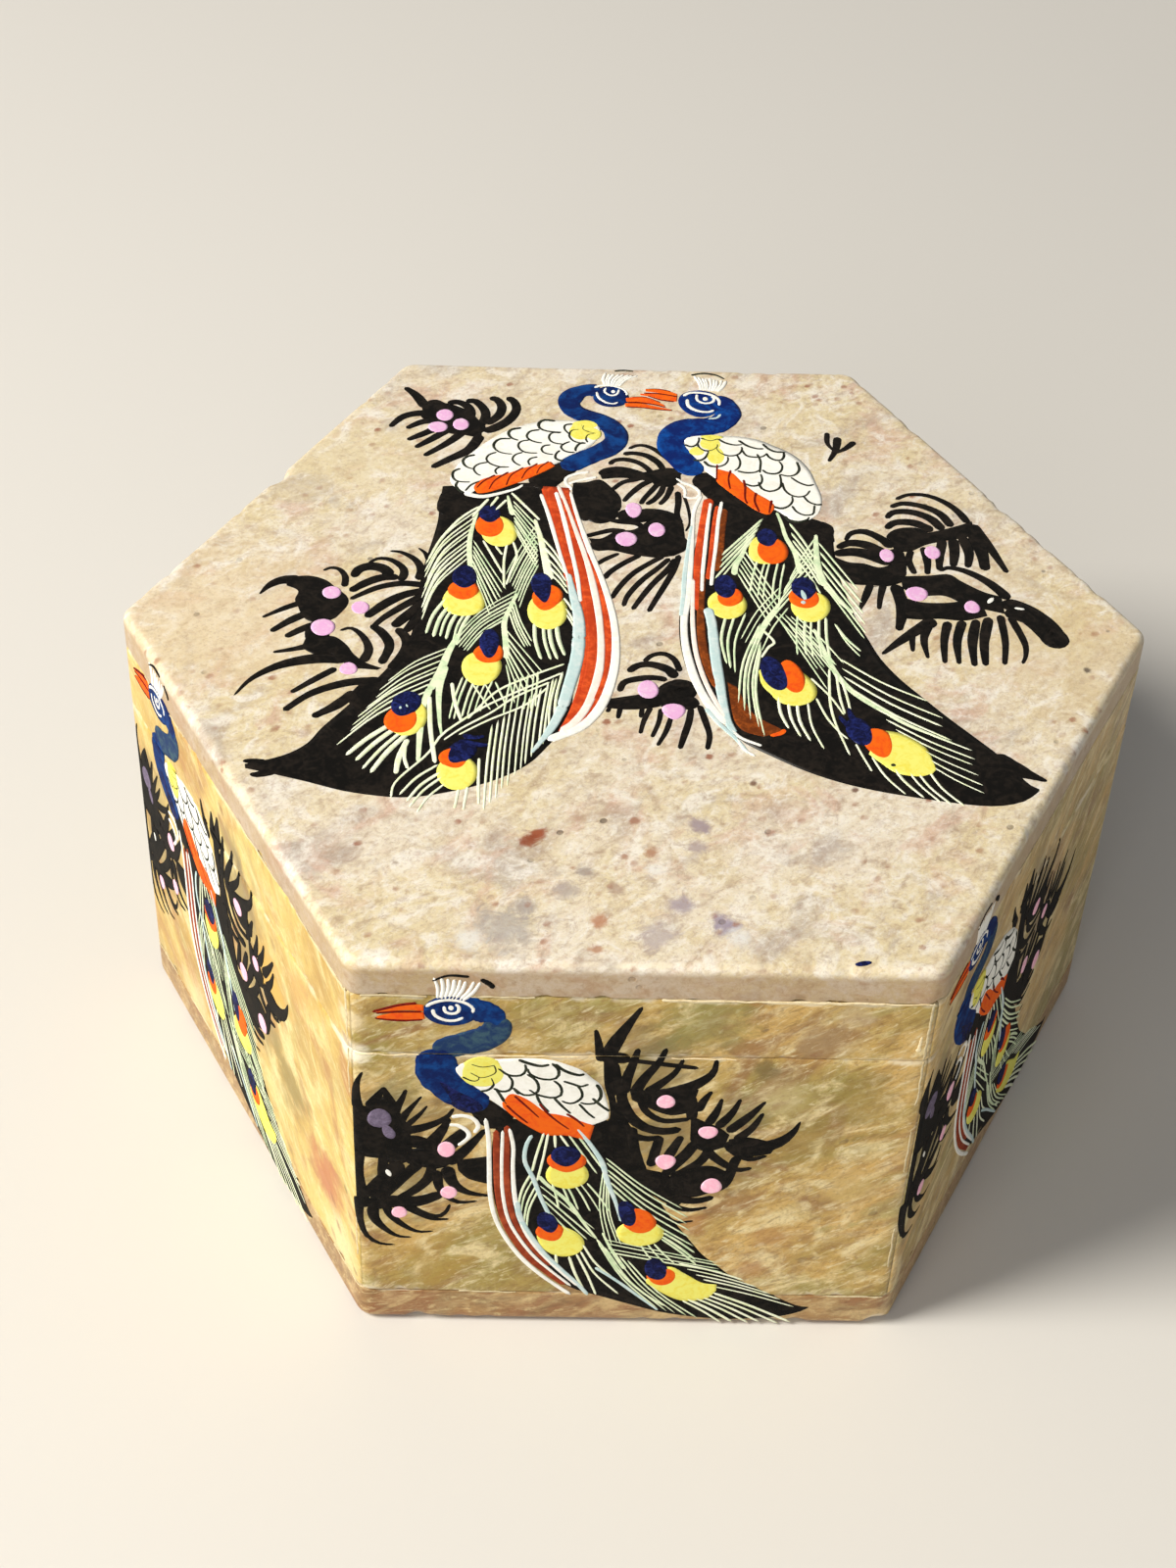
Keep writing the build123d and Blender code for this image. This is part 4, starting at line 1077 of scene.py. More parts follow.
    # the spray between the birds
    art.fill("black", 0.042, (-6.3, 24.2, -5, 24.3, -3.4, 24.8, -2.2, 23.4, -1.3, 21.8, -1.2, 20.2),
        (-6.4, 22.4, -6, 19.6, -5.4, 17.6, -4.2, 17.8, -2.8, 18.6, -1.4, 19.4),
        (-3.4, 25.5, -1, 26.7, 1, 26.3, 3.6, 27.2, 5.2, 27),
        (-3.2, 24.9, -1, 25.2, 1.4, 24.8, 3.4, 24.2, 5.2, 24.6),
        (-4.7, 14.6, -3.4, 14.6, -1.8, 15.9, 0, 16.2, 1.4, 17.6, 3, 19.2, 5.2, 17.4),
        (-4.4, 13.6, -3.2, 13.4, -1, 12.9, 1.4, 12.4, 3, 12.6, 4.2, 12.9, 5.3, 14.6))
    art.strokes("black", 0.045, (0.4, 0.5), (-0.3, 30.6, 0.8, 31.3, 2, 31, 3.4, 29.6, 4.6, 27.8, 5.2, 26),
        (0.5, 0.6), (-0.9, 29.6, 0.2, 29.8, 1.6, 29.4, 2.8, 28.2, 3.4, 26.8),
        (0.5, 0.5), (-2.4, 27.6, -1.8, 28.4, -0.6, 28.6, 0.8, 28, 1.8, 26.8, 2.1, 25.6),
        (0.7, 0.9), (-3.4, 25.6, -2.8, 26.4, -1.4, 26.7, 0.2, 26.2, 1.6, 25.4),
        (2, 2), (2, 25.8, 3.6, 25, 4.4, 24), (0.6, 0.4), (1.6, 25.6, 0.4, 25, -1, 24.4, -2.2, 23),
        (2.2, 25, 1, 24, -0.2, 22.4, -1, 21), (0.5, 0.4), (2.8, 24.4, 2, 23, 1.2, 21.6, 0.8, 20.6),
        (3.4, 24.4, 3, 22.8, 2.2, 21.4, 1.4, 20.6), (4.2, 24, 3.6, 22, 2.8, 20.6),
        (4.8, 23, 4.8, 21, 4.6, 19, 5, 17.4), (0.3, 0.2), (5.4, 22.4, 5.8, 20, 5.9, 17.6, 5.4, 16),
        (2.6, 2.2), (-5.6, 23, -4.4, 21.4, -3, 20, -1.6, 19.2),
        (2.2, 2.6), (-5.6, 20.8, -3.8, 19.2, -1.6, 18.6),
        (1.6, 1.4), (-1.6, 19, 0, 18.4, 1.8, 18.8, 3.6, 18.4, 4.8, 17),
        (0.5, 0.5), (-2.6, 17.8, -1.4, 17.5, 0.4, 17.2, 1.2, 16, 1.6, 14.4),
        (-5, 14.9, -3.4, 15.6, -2.2, 16, -0.8, 15.9),
        (1.4, 2.4), (-4.6, 13.2, -2.4, 13.6, -0.4, 13.2, 1.6, 13, 3.6, 13.4, 5, 15.2),
        (0.4, 0.4), (-3.9, 10.2, -3, 11.1, -1.6, 12.1),
        (0.5, 0.5), (-3.2, 7.8, -2.6, 8.9, -1.2, 10.4, 0.6, 11.9),
        (0.4, 0.5), (-2.5, 4.6, -1.6, 6.6, -0.2, 8.8, 1.6, 10.6, 3, 11.8),
        (-1.3, 3.4, -0.8, 5.2, 0.6, 7.6, 2.4, 9.8, 3.6, 11.4),
        (-0.4, 2.9, 0.6, 5, 1.8, 7.2, 3.4, 9.6, 4.2, 11.4), (1.2, 2.6, 2, 4.6, 3, 7, 4, 9.6, 4.6, 12))
    # the small spray under it
    art.strokes("black", 0.045, (0.4, 0.5), (0.6, -5.2, 1.4, -4.2, 2.6, -3.9, 3.6, -4.8, 4.1, -6.6),
        (0.6, 0.8), (-1, -6.8, 0, -5.8, 1.4, -5.6, 3, -6.4, 3.6, -7.6),
        (0.5, 0.6), (-1.9, -9.8, -1.4, -8.4, 0, -7.8, 1.6, -7.6, 2.8, -7.9),
        (1, 2.2), (-3.6, -11.6, -1.4, -11.5, 1, -11, 3, -9.9, 5, -8.8),
        (2.4, 2), (2, -10.6, 4, -9.4, 5.4, -8.4), (1.6, 1.4), (1.6, -10.6, 3.4, -11, 5.8, -11.4),
        (0.3, 0.3), (-2.8, -12, -3.1, -12.9), (0.4, 0.3), (-1.8, -12, -2.1, -13.8), (0.3, -12, 0.1, -13.6),
        (1.1, -12, 0.4, -14, 0, -15.9), (2.1, -12.2, 1.8, -14.2, 1.1, -16.4),
        (3.1, -13, 2.5, -15.4, 1.6, -17.6), (0.5, 0.4), (5, -12, 4.7, -14, 4.2, -16, 3.7, -18),
        (5.8, -11.6, 6.3, -14, 6.6, -16, 6.3, -18))
    # the spray at the right
    art.load = 1.25
    art.fill("black", 0.042, (26.6, 15.4, 28, 16.9, 30.2, 16.6, 32.4, 17.3, 34.4, 18.2, 35.6, 18.9),
        (27, 13.4, 28.6, 13.4, 30.4, 14.6, 32.6, 15.4, 34.4, 15.9, 35.8, 16.6),
        (20.7, 12.2, 22, 11.4, 23.6, 11.2, 25.2, 10.6, 26.8, 11.4),
        (20.7, 9.4, 22, 7.8, 24.2, 7.6, 25.8, 7.5, 27.3, 8.2),
        (27.2, 9.2, 30, 9.4, 32.2, 9.7, 33.4, 8.6, 35.4, 7, 37.2, 6.2),
        (27.2, 7.2, 28.6, 6, 31.4, 6.1, 33.4, 4.6, 35.4, 4, 37.2, 3.4),
        (27.4, 5.6, 29, 5, 31.4, 5, 33.4, 5.4, 35, 5.4),
        (26.6, 2.4, 28.6, 2.2, 30.4, 2.4, 33, 2.2, 35.4, 3))
    art.strokes("black", 0.045,
        (0.4, 0.7), (27.9, 22.4, 29.4, 23.3, 31.4, 23.2, 33.2, 22, 34.4, 20.4, 35.2, 18.5),
        (0.5, 0.8), (27.2, 21, 28.6, 21.7, 30.6, 21.3, 32.4, 20, 33.4, 17.8),
        (0.5, 1), (26.6, 19, 27.5, 20.1, 29.4, 20.2, 31.3, 19.1, 32.4, 17.2),
        (0.6, 1), (26.4, 17.2, 27.5, 18.3, 29.5, 18.3, 31.3, 17),
        (0.7, 1), (26.5, 15.4, 27.5, 16.6, 29.2, 16.9, 30.8, 16.2),
        (0.9, 0.5), (35.7, 18.3, 37, 14.4, 38.3, 10.2), (1, 0.8), (35.2, 17.7, 36, 14, 36.1, 10.5),
        (0.9, 0.6), (34.3, 16.2, 34.7, 13.4, 34.3, 10.9), (33.3, 15.8, 33.2, 13.4, 32.8, 11),
        (0.8, 0.5), (32.2, 15.6, 31.6, 12.8, 31.3, 10.3), (0.7, 0.5), (30, 14.2, 30.2, 11.8, 30, 9.6),
        (0.6, 0.5), (28.7, 13.6, 28.3, 11.8, 28.7, 9.6),
        (0.4, 1), (22, 15, 22.7, 16.3, 24.2, 16.6, 25.8, 15.4, 26.8, 14),
        (0.6, 1.1), (21, 13.7, 22.4, 14.6, 24.2, 14.3, 26, 12.8),
        (0.9, 1.2), (20.6, 12.7, 22.7, 13.1, 24.7, 12.5, 26.4, 11.2),
        (1.3, 1), (27, 13.8, 27.2, 11.6, 27.2, 9), (0.7, 0.3), (24, 7.8, 23.2, 5.4, 22.5, 3.5),
        (25.3, 7.8, 24.8, 5.6, 24.5, 3.7), (1.2, 0.6), (26.5, 7.8, 26.9, 4.2, 26.2, 0.4),
        (0.4, 1), (31.3, 10.2, 32.3, 10.8, 34, 10.3, 35.8, 8.9, 37, 7.4, 37.9, 5.8),
        (1.6, 2.3), (37.2, 5.4, 39.2, 4, 40.9, 1.6, 42.3, -1.8),
        (1.5, 2), (37.2, 3.6, 39.6, 3, 41.4, 0.6, 42, -1.6),
        (0.3, 1.3), (24.2, -3.3, 25.9, -1.5, 28, 0.5, 30, 2.2),
        (0.6, 0.3), (27.6, 0.8, 27.4, -1, 27.3, -2.8), (0.8, 0.3), (29.5, 2, 28.6, -0.8, 28.7, -3.8),
        (0.8, 0.4), (31.3, 2, 30.6, -1, 30.3, -4.5), (32.8, 2.2, 31.9, -1, 31.7, -4.6),
        (0.8, 0.5), (34.2, 2.4, 33.4, -1.2, 33.2, -4.9), (0.9, 0.5), (35.5, 2.8, 34.6, -1, 34.3, -4.8),
        (0.7, 0.4), (36.7, 3.2, 36.7, -1, 36.2, -4.6), (0.7, 0.3), (37.7, 3, 38.6, -1, 38.5, -3, 38, -4.4))
    art.load = 1.3
    # a plain three-leaf sprig near the back right corner
    art.strokes("black", 0.05, (0.3, 0.7), (21.3, 29, 22.2, 31.2, 22.6, 33.6),
        (0.25, 0.6), (21.8, 30.4, 23.2, 31.4, 24.4, 32.8), (0.25, 0.5), (22, 31, 21.4, 32.4, 21.5, 34.4))
    art.load = 1.0
    art.blobs("pink", 0.085, (-20.3, 36.2, 0.9, 1.1), (-21, 33.9, 1.1, 1), (-18.5, 34.5, 0.95, 1.1),
        (-27.6, 2.3, 0.85, 1), (-28.2, -7.2, 0.95, 0.9), (0.05, 19.5, 0.95, 1.3), (2.4, 16.2, 1, 1.2),
        (-0.8, 14.5, 1, 1.2), (0.9, -9.4, 0.95, 1.35), (3.3, -12.6, 1.05, 1.15), (26.1, 12.6, 0.75, 1.1),
        (30.9, 13.3, 0.85, 1.1), (28.6, 6.3, 1.1, 1.15), (34, 4.4, 0.85, 1), (-30.6, 4.6, 0.95, 1),
        (-31.1, -1, 1.1, 1.3))
    art.blobs("white", 0.09, (36, 5.5, 0.25, 0.55, -35), (38.8, 4.3, 0.16, 0.5, 80))


def paintSideBird(art):
    # body, tail and neck
    art.fill("black", 0.045, (-12.6, 31, -13.2, 28, -13.3, 24, -13.1, 20, -12.5, 16.5, -11.5, 13.5,
        -9.8, 10.5, -7.8, 8, -5.2, 5.6, -2.3, 4.3, 0.8, 3, 3.8, 1.9, 7, 1.2, 10, 0.9, 13, 1.1, 15.5, 1.5,
        17.3, 2.2, 18.2, 2.9), (-9.5, 30.8, -4.6, 29.6, -2.6, 27, -1.5, 24.5, 0.3, 22, 2.4, 19.6, 3.6, 17.3,
        4.9, 15, 6.2, 12.8, 7.2, 11.2, 8.8, 9.4, 10.4, 7.7, 12.5, 6.3, 14.2, 5.1, 16, 3.9, 17.2, 3.2,
        18.2, 3.05), rows=60, across=15)
    art.strokes("black", 0.05, (2.6, 3), (-15, 33.2, -13.4, 31.6, -12, 29.8),
        (2, 2.6), (-3.6, 31, -3.2, 29, -4.2, 26), rows=22)
    art.strokes("slate", 0.08,
        (2.5, 2.7), (-13.4, 44.8, -13, 43.3, -13.8, 42, -15.5, 41.2, -17.2, 40.6, -18.3, 39.6), rows=30,
        across=9)
    art.strokes("blue", 0.085, (2.9, 1.9), (-16.6, 45.7, -14.8, 45.6, -13.4, 44.8, -12.9, 43.7),
        (3.6, 3.2), (-17.6, 40.2, -18.3, 38.4, -18.1, 36.9, -16.9, 35.2, -15.4, 33.7, -14, 32.3), rows=36,
        across=9)
    art.strokes("navy", 0.09, (0.7, 3.4), (-18, 36, -16.6, 34.3, -15.4, 33.2, -14.2, 32.2))
    art.blobs("blue", 0.09, (-17, 45.4, 2.5, 1.9))
    art.fill("orange", 0.09, (-23.8, 45.15, -22, 45.85, -20.5, 46.2, -19.4, 46.05),
        (-23.8, 45.05, -22, 45.3, -20.6, 45.4, -19.4, 45.3),
        (-23.5, 44.5, -22.3, 44.95, -21, 45.15, -19.4, 45.15),
        (-23.5, 44.35, -22.5, 44.2, -21, 44.15, -19.3, 44.3))
    art.strokes("maroon", 0.1, (0.25, 0.3), (-23.9, 45.1, -21.6, 46, -20, 46.3),
        (0.22, 0.2), (-23.7, 44.3, -21.5, 44.05, -19.5, 44.2),
        (0.2, 0.2), (-23.6, 44.95, -22, 45.15, -19.6, 45.2))
    headMarks(art, (-17, 45.8, 0.26, 0.3),
        (0.34, 0.3), (-19.2, 45.9, -18.6, 46.4, -17.4, 46.8, -16, 46.6, -15.1, 45.9, -15.1, 45.2),
        (0.36, 0.3), (-18.6, 45.6, -18.4, 44.8, -17.5, 44.2, -16.6, 44.2, -15.9, 44.6),
        (0.34, 0.3), (-17.6, 46, -17.5, 45.3, -16.9, 45.05, -16.4, 45.3, -16.3, 45.9, -16.6, 46.3))
    art.fans("white", 0.1, (-18.3, 47, -15.9, 46.7, -18.7, 49.6, -14.2, 49.1, 8, -0.06, 0.36))
    art.strokes("black", 0.105, (0.2, 0.25), (-18.6, 49.2, -17.2, 49.9, -15.4, 49.8),
        (0.4, 0.5), (-14.4, 49.5, -13.6, 48.9, -13.3, 48.4))
    # wing
    art.fill("white", 0.075, (-16.6, 37.9, -16, 38.5, -14.5, 39, -12.5, 39.15, -10.5, 39.3, -8.5, 39.2,
        -7, 38.7, -5.3, 37.8, -4.3, 36.7, -3.5, 35.8, -3, 34.2, -2.7, 32.8, -2.6, 31.4), (-16.6, 37.6,
        -16.4, 36.7, -15.2, 35.2, -13.6, 33.7, -12.1, 32.2, -11.2, 31.2, -9.6, 30.4, -7.5, 30, -5.5, 30,
        -3.9, 30.3, -2.7, 31.1), across=13)
    art.blobs("yellow", 0.09, (-14.2, 37.4, 2, 2, 10))
    art.fill("orange", 0.09,
        (-12.4, 33.2, -11.6, 34.7, -10, 33.9, -8.4, 32.2, -7.3, 31.9, -5.6, 31.2, -3.9, 30.1),
        (-12.3, 32.5, -11.2, 31.1, -9.6, 29.6, -8.2, 28.7, -6.6, 28.7, -5, 28.2, -4.3, 27.9))
    art.strokes("maroon", 0.11, (0.26, 0.2), (-11.3, 34.2, -10.2, 32.8, -9, 31.2),
        (-12, 32.9, -11.2, 31.8, -10, 30.4), (0.28, 0.2), (-9, 33.2, -8.2, 31.8, -7.2, 30.6, -6.2, 29.6),
        (-6.5, 31.8, -5.6, 31, -4.8, 30))
    art.load = 1.3
    art.strokes("line", 0.1, (0.26, 0.22), (-15.2, 38.4, -14.2, 38.05, -13.1, 38.3),
        (-13.15, 38.3, -13, 37.4, -13.5, 36.9, -14.3, 36.6, -14.8, 36.9, -15.3, 37.3),
        (-14.9, 37, -14.5, 36.6, -14.7, 36.2, -15.2, 36.2, -16, 36.7),
        (0.27, 0.22), (-13.4, 36.6, -13.2, 35.7, -13.6, 35, -14.4, 34.7),
        (0.26, 0.22), (-12.8, 37.9, -12, 37.1, -11.3, 36.9, -10.6, 37.1, -10.3, 37.8, -10.4, 38.5),
        (-10.2, 38, -9.9, 37.2, -9, 36.6, -8, 36.5, -7.4, 36.9, -7.4, 37.9, -8, 38.7),
        (-11, 39.1, -10, 38.6, -9, 38.3, -8.2, 38.5), (-7.7, 38.6, -6.8, 37.7, -5.6, 37.15, -5, 37.3),
        (-13.2, 35.2, -12.6, 34.8, -12, 34.8, -11.6, 35.2, -11.5, 36.2, -11.9, 37),
        (-10.2, 37.2, -9.4, 36.4, -9.1, 35.4, -9.3, 34.6, -9.9, 34.3, -10.6, 34.4, -11.3, 35.2),
        (-7.8, 36.4, -7.2, 35.7, -7, 34.9, -7.2, 34.2, -8, 34, -9.2, 34.4, -10, 35.1),
        (-6.9, 36.3, -6, 35.9, -5.3, 35.6, -4.6, 35.9),
        (-5.6, 35.7, -5.2, 34.9, -5.2, 34, -5.9, 33.3, -6.5, 33.3, -7, 33.6),
        (-3.9, 35.9, -3.5, 35, -3.5, 34, -4, 33.3, -4.8, 33.2, -5.3, 33.4),
        (0.27, 0.22), (-13, 35.2, -12, 33), (-11.4, 35.3, -10.9, 34.4), (-9.3, 34.4, -8.9, 33.2, -8.1, 32),
        (-7.7, 34, -6.9, 32.8, -6.1, 31.8), (-5.4, 33.2, -4.6, 32, -3.9, 31.2),
        (-4.2, 34, -3.4, 33, -2.6, 32.2), rows=15, across=3)
    art.load = 1.0
    # ribbons along the neck side and the tail
    art.strokes("rust", 0.08, (0.6, 0.7), (-12.9, 29.3, -12.8, 24, -12.6, 20, -12.1, 16.5, -11.1, 13.5,
        -9.6, 10.5, -7.8, 8.2, -6, 6.2),
        (0.6, 0.5), (-11.9, 30, -11.9, 24, -11.7, 20, -11.2, 16.7, -10.3, 14, -9, 11.5, -7.5, 9.2), rows=34)
    art.strokes("white", 0.1, (0.4, 0.45), (-13.9, 31, -13.6, 28, -13.5, 24, -13.4, 20, -12.9, 16.5,
        -11.9, 13.5, -10.4, 10.5, -8.6, 8, -6.8, 6, -5.4, 4.6), (0.3, 0.3), (-12.3, 29.3, -12.35, 24,
        -12.2, 20, -11.7, 16.5, -10.7, 13.7, -9.2, 10.8, -7.4, 8.4, -5.4, 6), (0.35, 0.45), (-11.7, 29.6,
        -11.3, 27, -11.3, 24, -11.1, 20, -10.6, 16.8, -9.8, 14, -8.4, 11.2, -6.6, 8.6, -4.6, 6),
        (0.4, 0.36), (-17, 31.1, -16, 31.3, -15, 30.9, -14.55, 29.9, -14.9, 28.9),
        (-17.2, 30, -16.4, 29.9, -15.6, 29.2, -15.4, 28.4, -15.9, 27.6, -16.4, 27.1), rows=34)
    art.strokes("sky", 0.105,
        (0.6, 0.4), (-10.9, 19, -10.5, 16.5, -9.6, 14, -8.2, 11.2, -6.4, 8.6, -4.8, 6.4, -3.7, 4.6),
        (0.36, 0.4), (-9.6, 28.7, -10.1, 27.2, -10.2, 24.9, -9.4, 22.5, -8.7, 19.9, -8.1, 18, -7.3, 15.8),
        (0.3, 0.5), (-5.4, 29.6, -4.4, 27.9, -3.1, 25.2, -2.6, 23.2),
        (0.5, 0.24), (-2.7, 23.4, -2.2, 21.4, -1.5, 19, -0.9, 16.2),
        (0.35, 0.24), (-3.1, 9, -0.9, 6.9, 1.3, 4.5, 3.3, 2.3), rows=28)
    featherEyes(art, (-6.2, 23.1, 1.9, 2), (-6.3, 24.9, 1.5, 1.4), (-6.4, 25.7, 1.25, 1.35),
        (-6.7, 13.2, 1.75, 2.5, 40), (-7.6, 14.4, 1.3, 1.25, 20), (-7.9, 15.9, 0.85, 1.45, 16),
        (1, 14.4, 1.95, 1.8), (0.85, 16.3, 1.35, 1.75, 14), (-0.35, 17.4, 0.85, 1.75, 12))
    art.fill("yellow", 0.085, (1.9, 7.1, 2.6, 8.7, 4.2, 9.3, 5.7, 8.2, 7.4, 6.8, 8.9, 6.5),
        (2, 6.6, 3.6, 5.1, 5.2, 4, 6.6, 3.85, 8.1, 4.3, 8.9, 5.5))
    art.blobs("orange", 0.105, (3.45, 7.7, 1.5, 1.35))
    art.blobs("navy", 0.125, (2.8, 8.9, 1.1, 1.7, 14))
    art.strokes("green", 0.06, (0.6, 0.35), (-8.9, 22.8, -8, 21.4, -6.1, 19.1, -4.4, 15.8, -3.1, 13.4),
        (0.35, 0.3), (-3.1, 13.4, -2, 11.2, -0.6, 8.2, 1.7, 5.1, 3.9, 3),
        (0.3, 0.55), (-2.6, 14.4, -1.8, 12.2, -0.8, 10, -0.2, 8.8), rows=22)
    art.fans("green", 0.072, (-9.7, 23.4, -8.6, 20.6, -10.9, 18.4, -9.7, 14.4, 4, -0.05, 0.24),
        (-6.6, 28.8, -5, 28.6, -3.5, 22.6, -2.7, 24.2, 2, 0, 0.24),
        (-7.8, 21.6, -4, 21.8, -7.2, 17.8, -1.5, 17.4, 6, 0.02, 0.23),
        (-8.8, 21.8, -8, 17.4, -3, 15, -4.4, 11.8, 4, 0, 0.2),
        (-2.7, 26, -2.2, 21, 4.8, 18.8, 6.2, 12.2, 6, -0.04, 0.21),
        (-2.9, 24.2, -2.2, 21.4, -2.4, 13.2, -0.4, 12.2, 4, -0.05, 0.2),
        (-2.4, 13.7, -1.8, 11.1, 8.4, 10.3, 9.6, 8.2, 4, 0, 0.19),
        (0.7, 12.7, 2.8, 12.8, 1.7, 10.4, 5.2, 9.6, 3, -0.02, 0.24),
        (3.1, 13.3, 3.2, 14.8, 6.7, 9.2, 6.2, 12.1, 3, 0.02, 0.25),
        (-3.4, 13.2, 0.3, 9.9, 2.6, 2.8, 7.6, 1, 5, -0.05, 0.21))
    art.fans("palegreen", 0.075, (4.6, 10.2, 8.9, 5.9, 11.4, 7.5, 16.8, 2.9, 5, 0.02, 0.2),
        (8.9, 5.3, 5.3, 3.7, 17.4, 0.5, 8.6, 0.5, 6, 0.02, 0.3))
    art.strokes("palegreen", 0.075, (0.26, 0.24), (-8.5, 29, -9.1, 26, -9.5, 23.4),
        (-8.1, 29, -8.5, 25.4, -9, 22), (0.28, 0.2), (-7.5, 28.7, -7.4, 26.9),
        (0.24, 0.2), (-7, 28.7, -6.1, 26.9), (0.26, 0.22), (-7, 11, -6.8, 8.8),
        (0.28, 0.24), (-5.7, 10.7, -5, 7.9, -3.8, 4.5), (0.26, 0.22), (-5, 11.1, -3.9, 8, -2.9, 4.6),
        (0.24, 0.2), (-4.6, 11.5, -3.1, 8, -0.7, 4.8), (-4.4, 12.5, -3.1, 9.7, -1.1, 7.1))


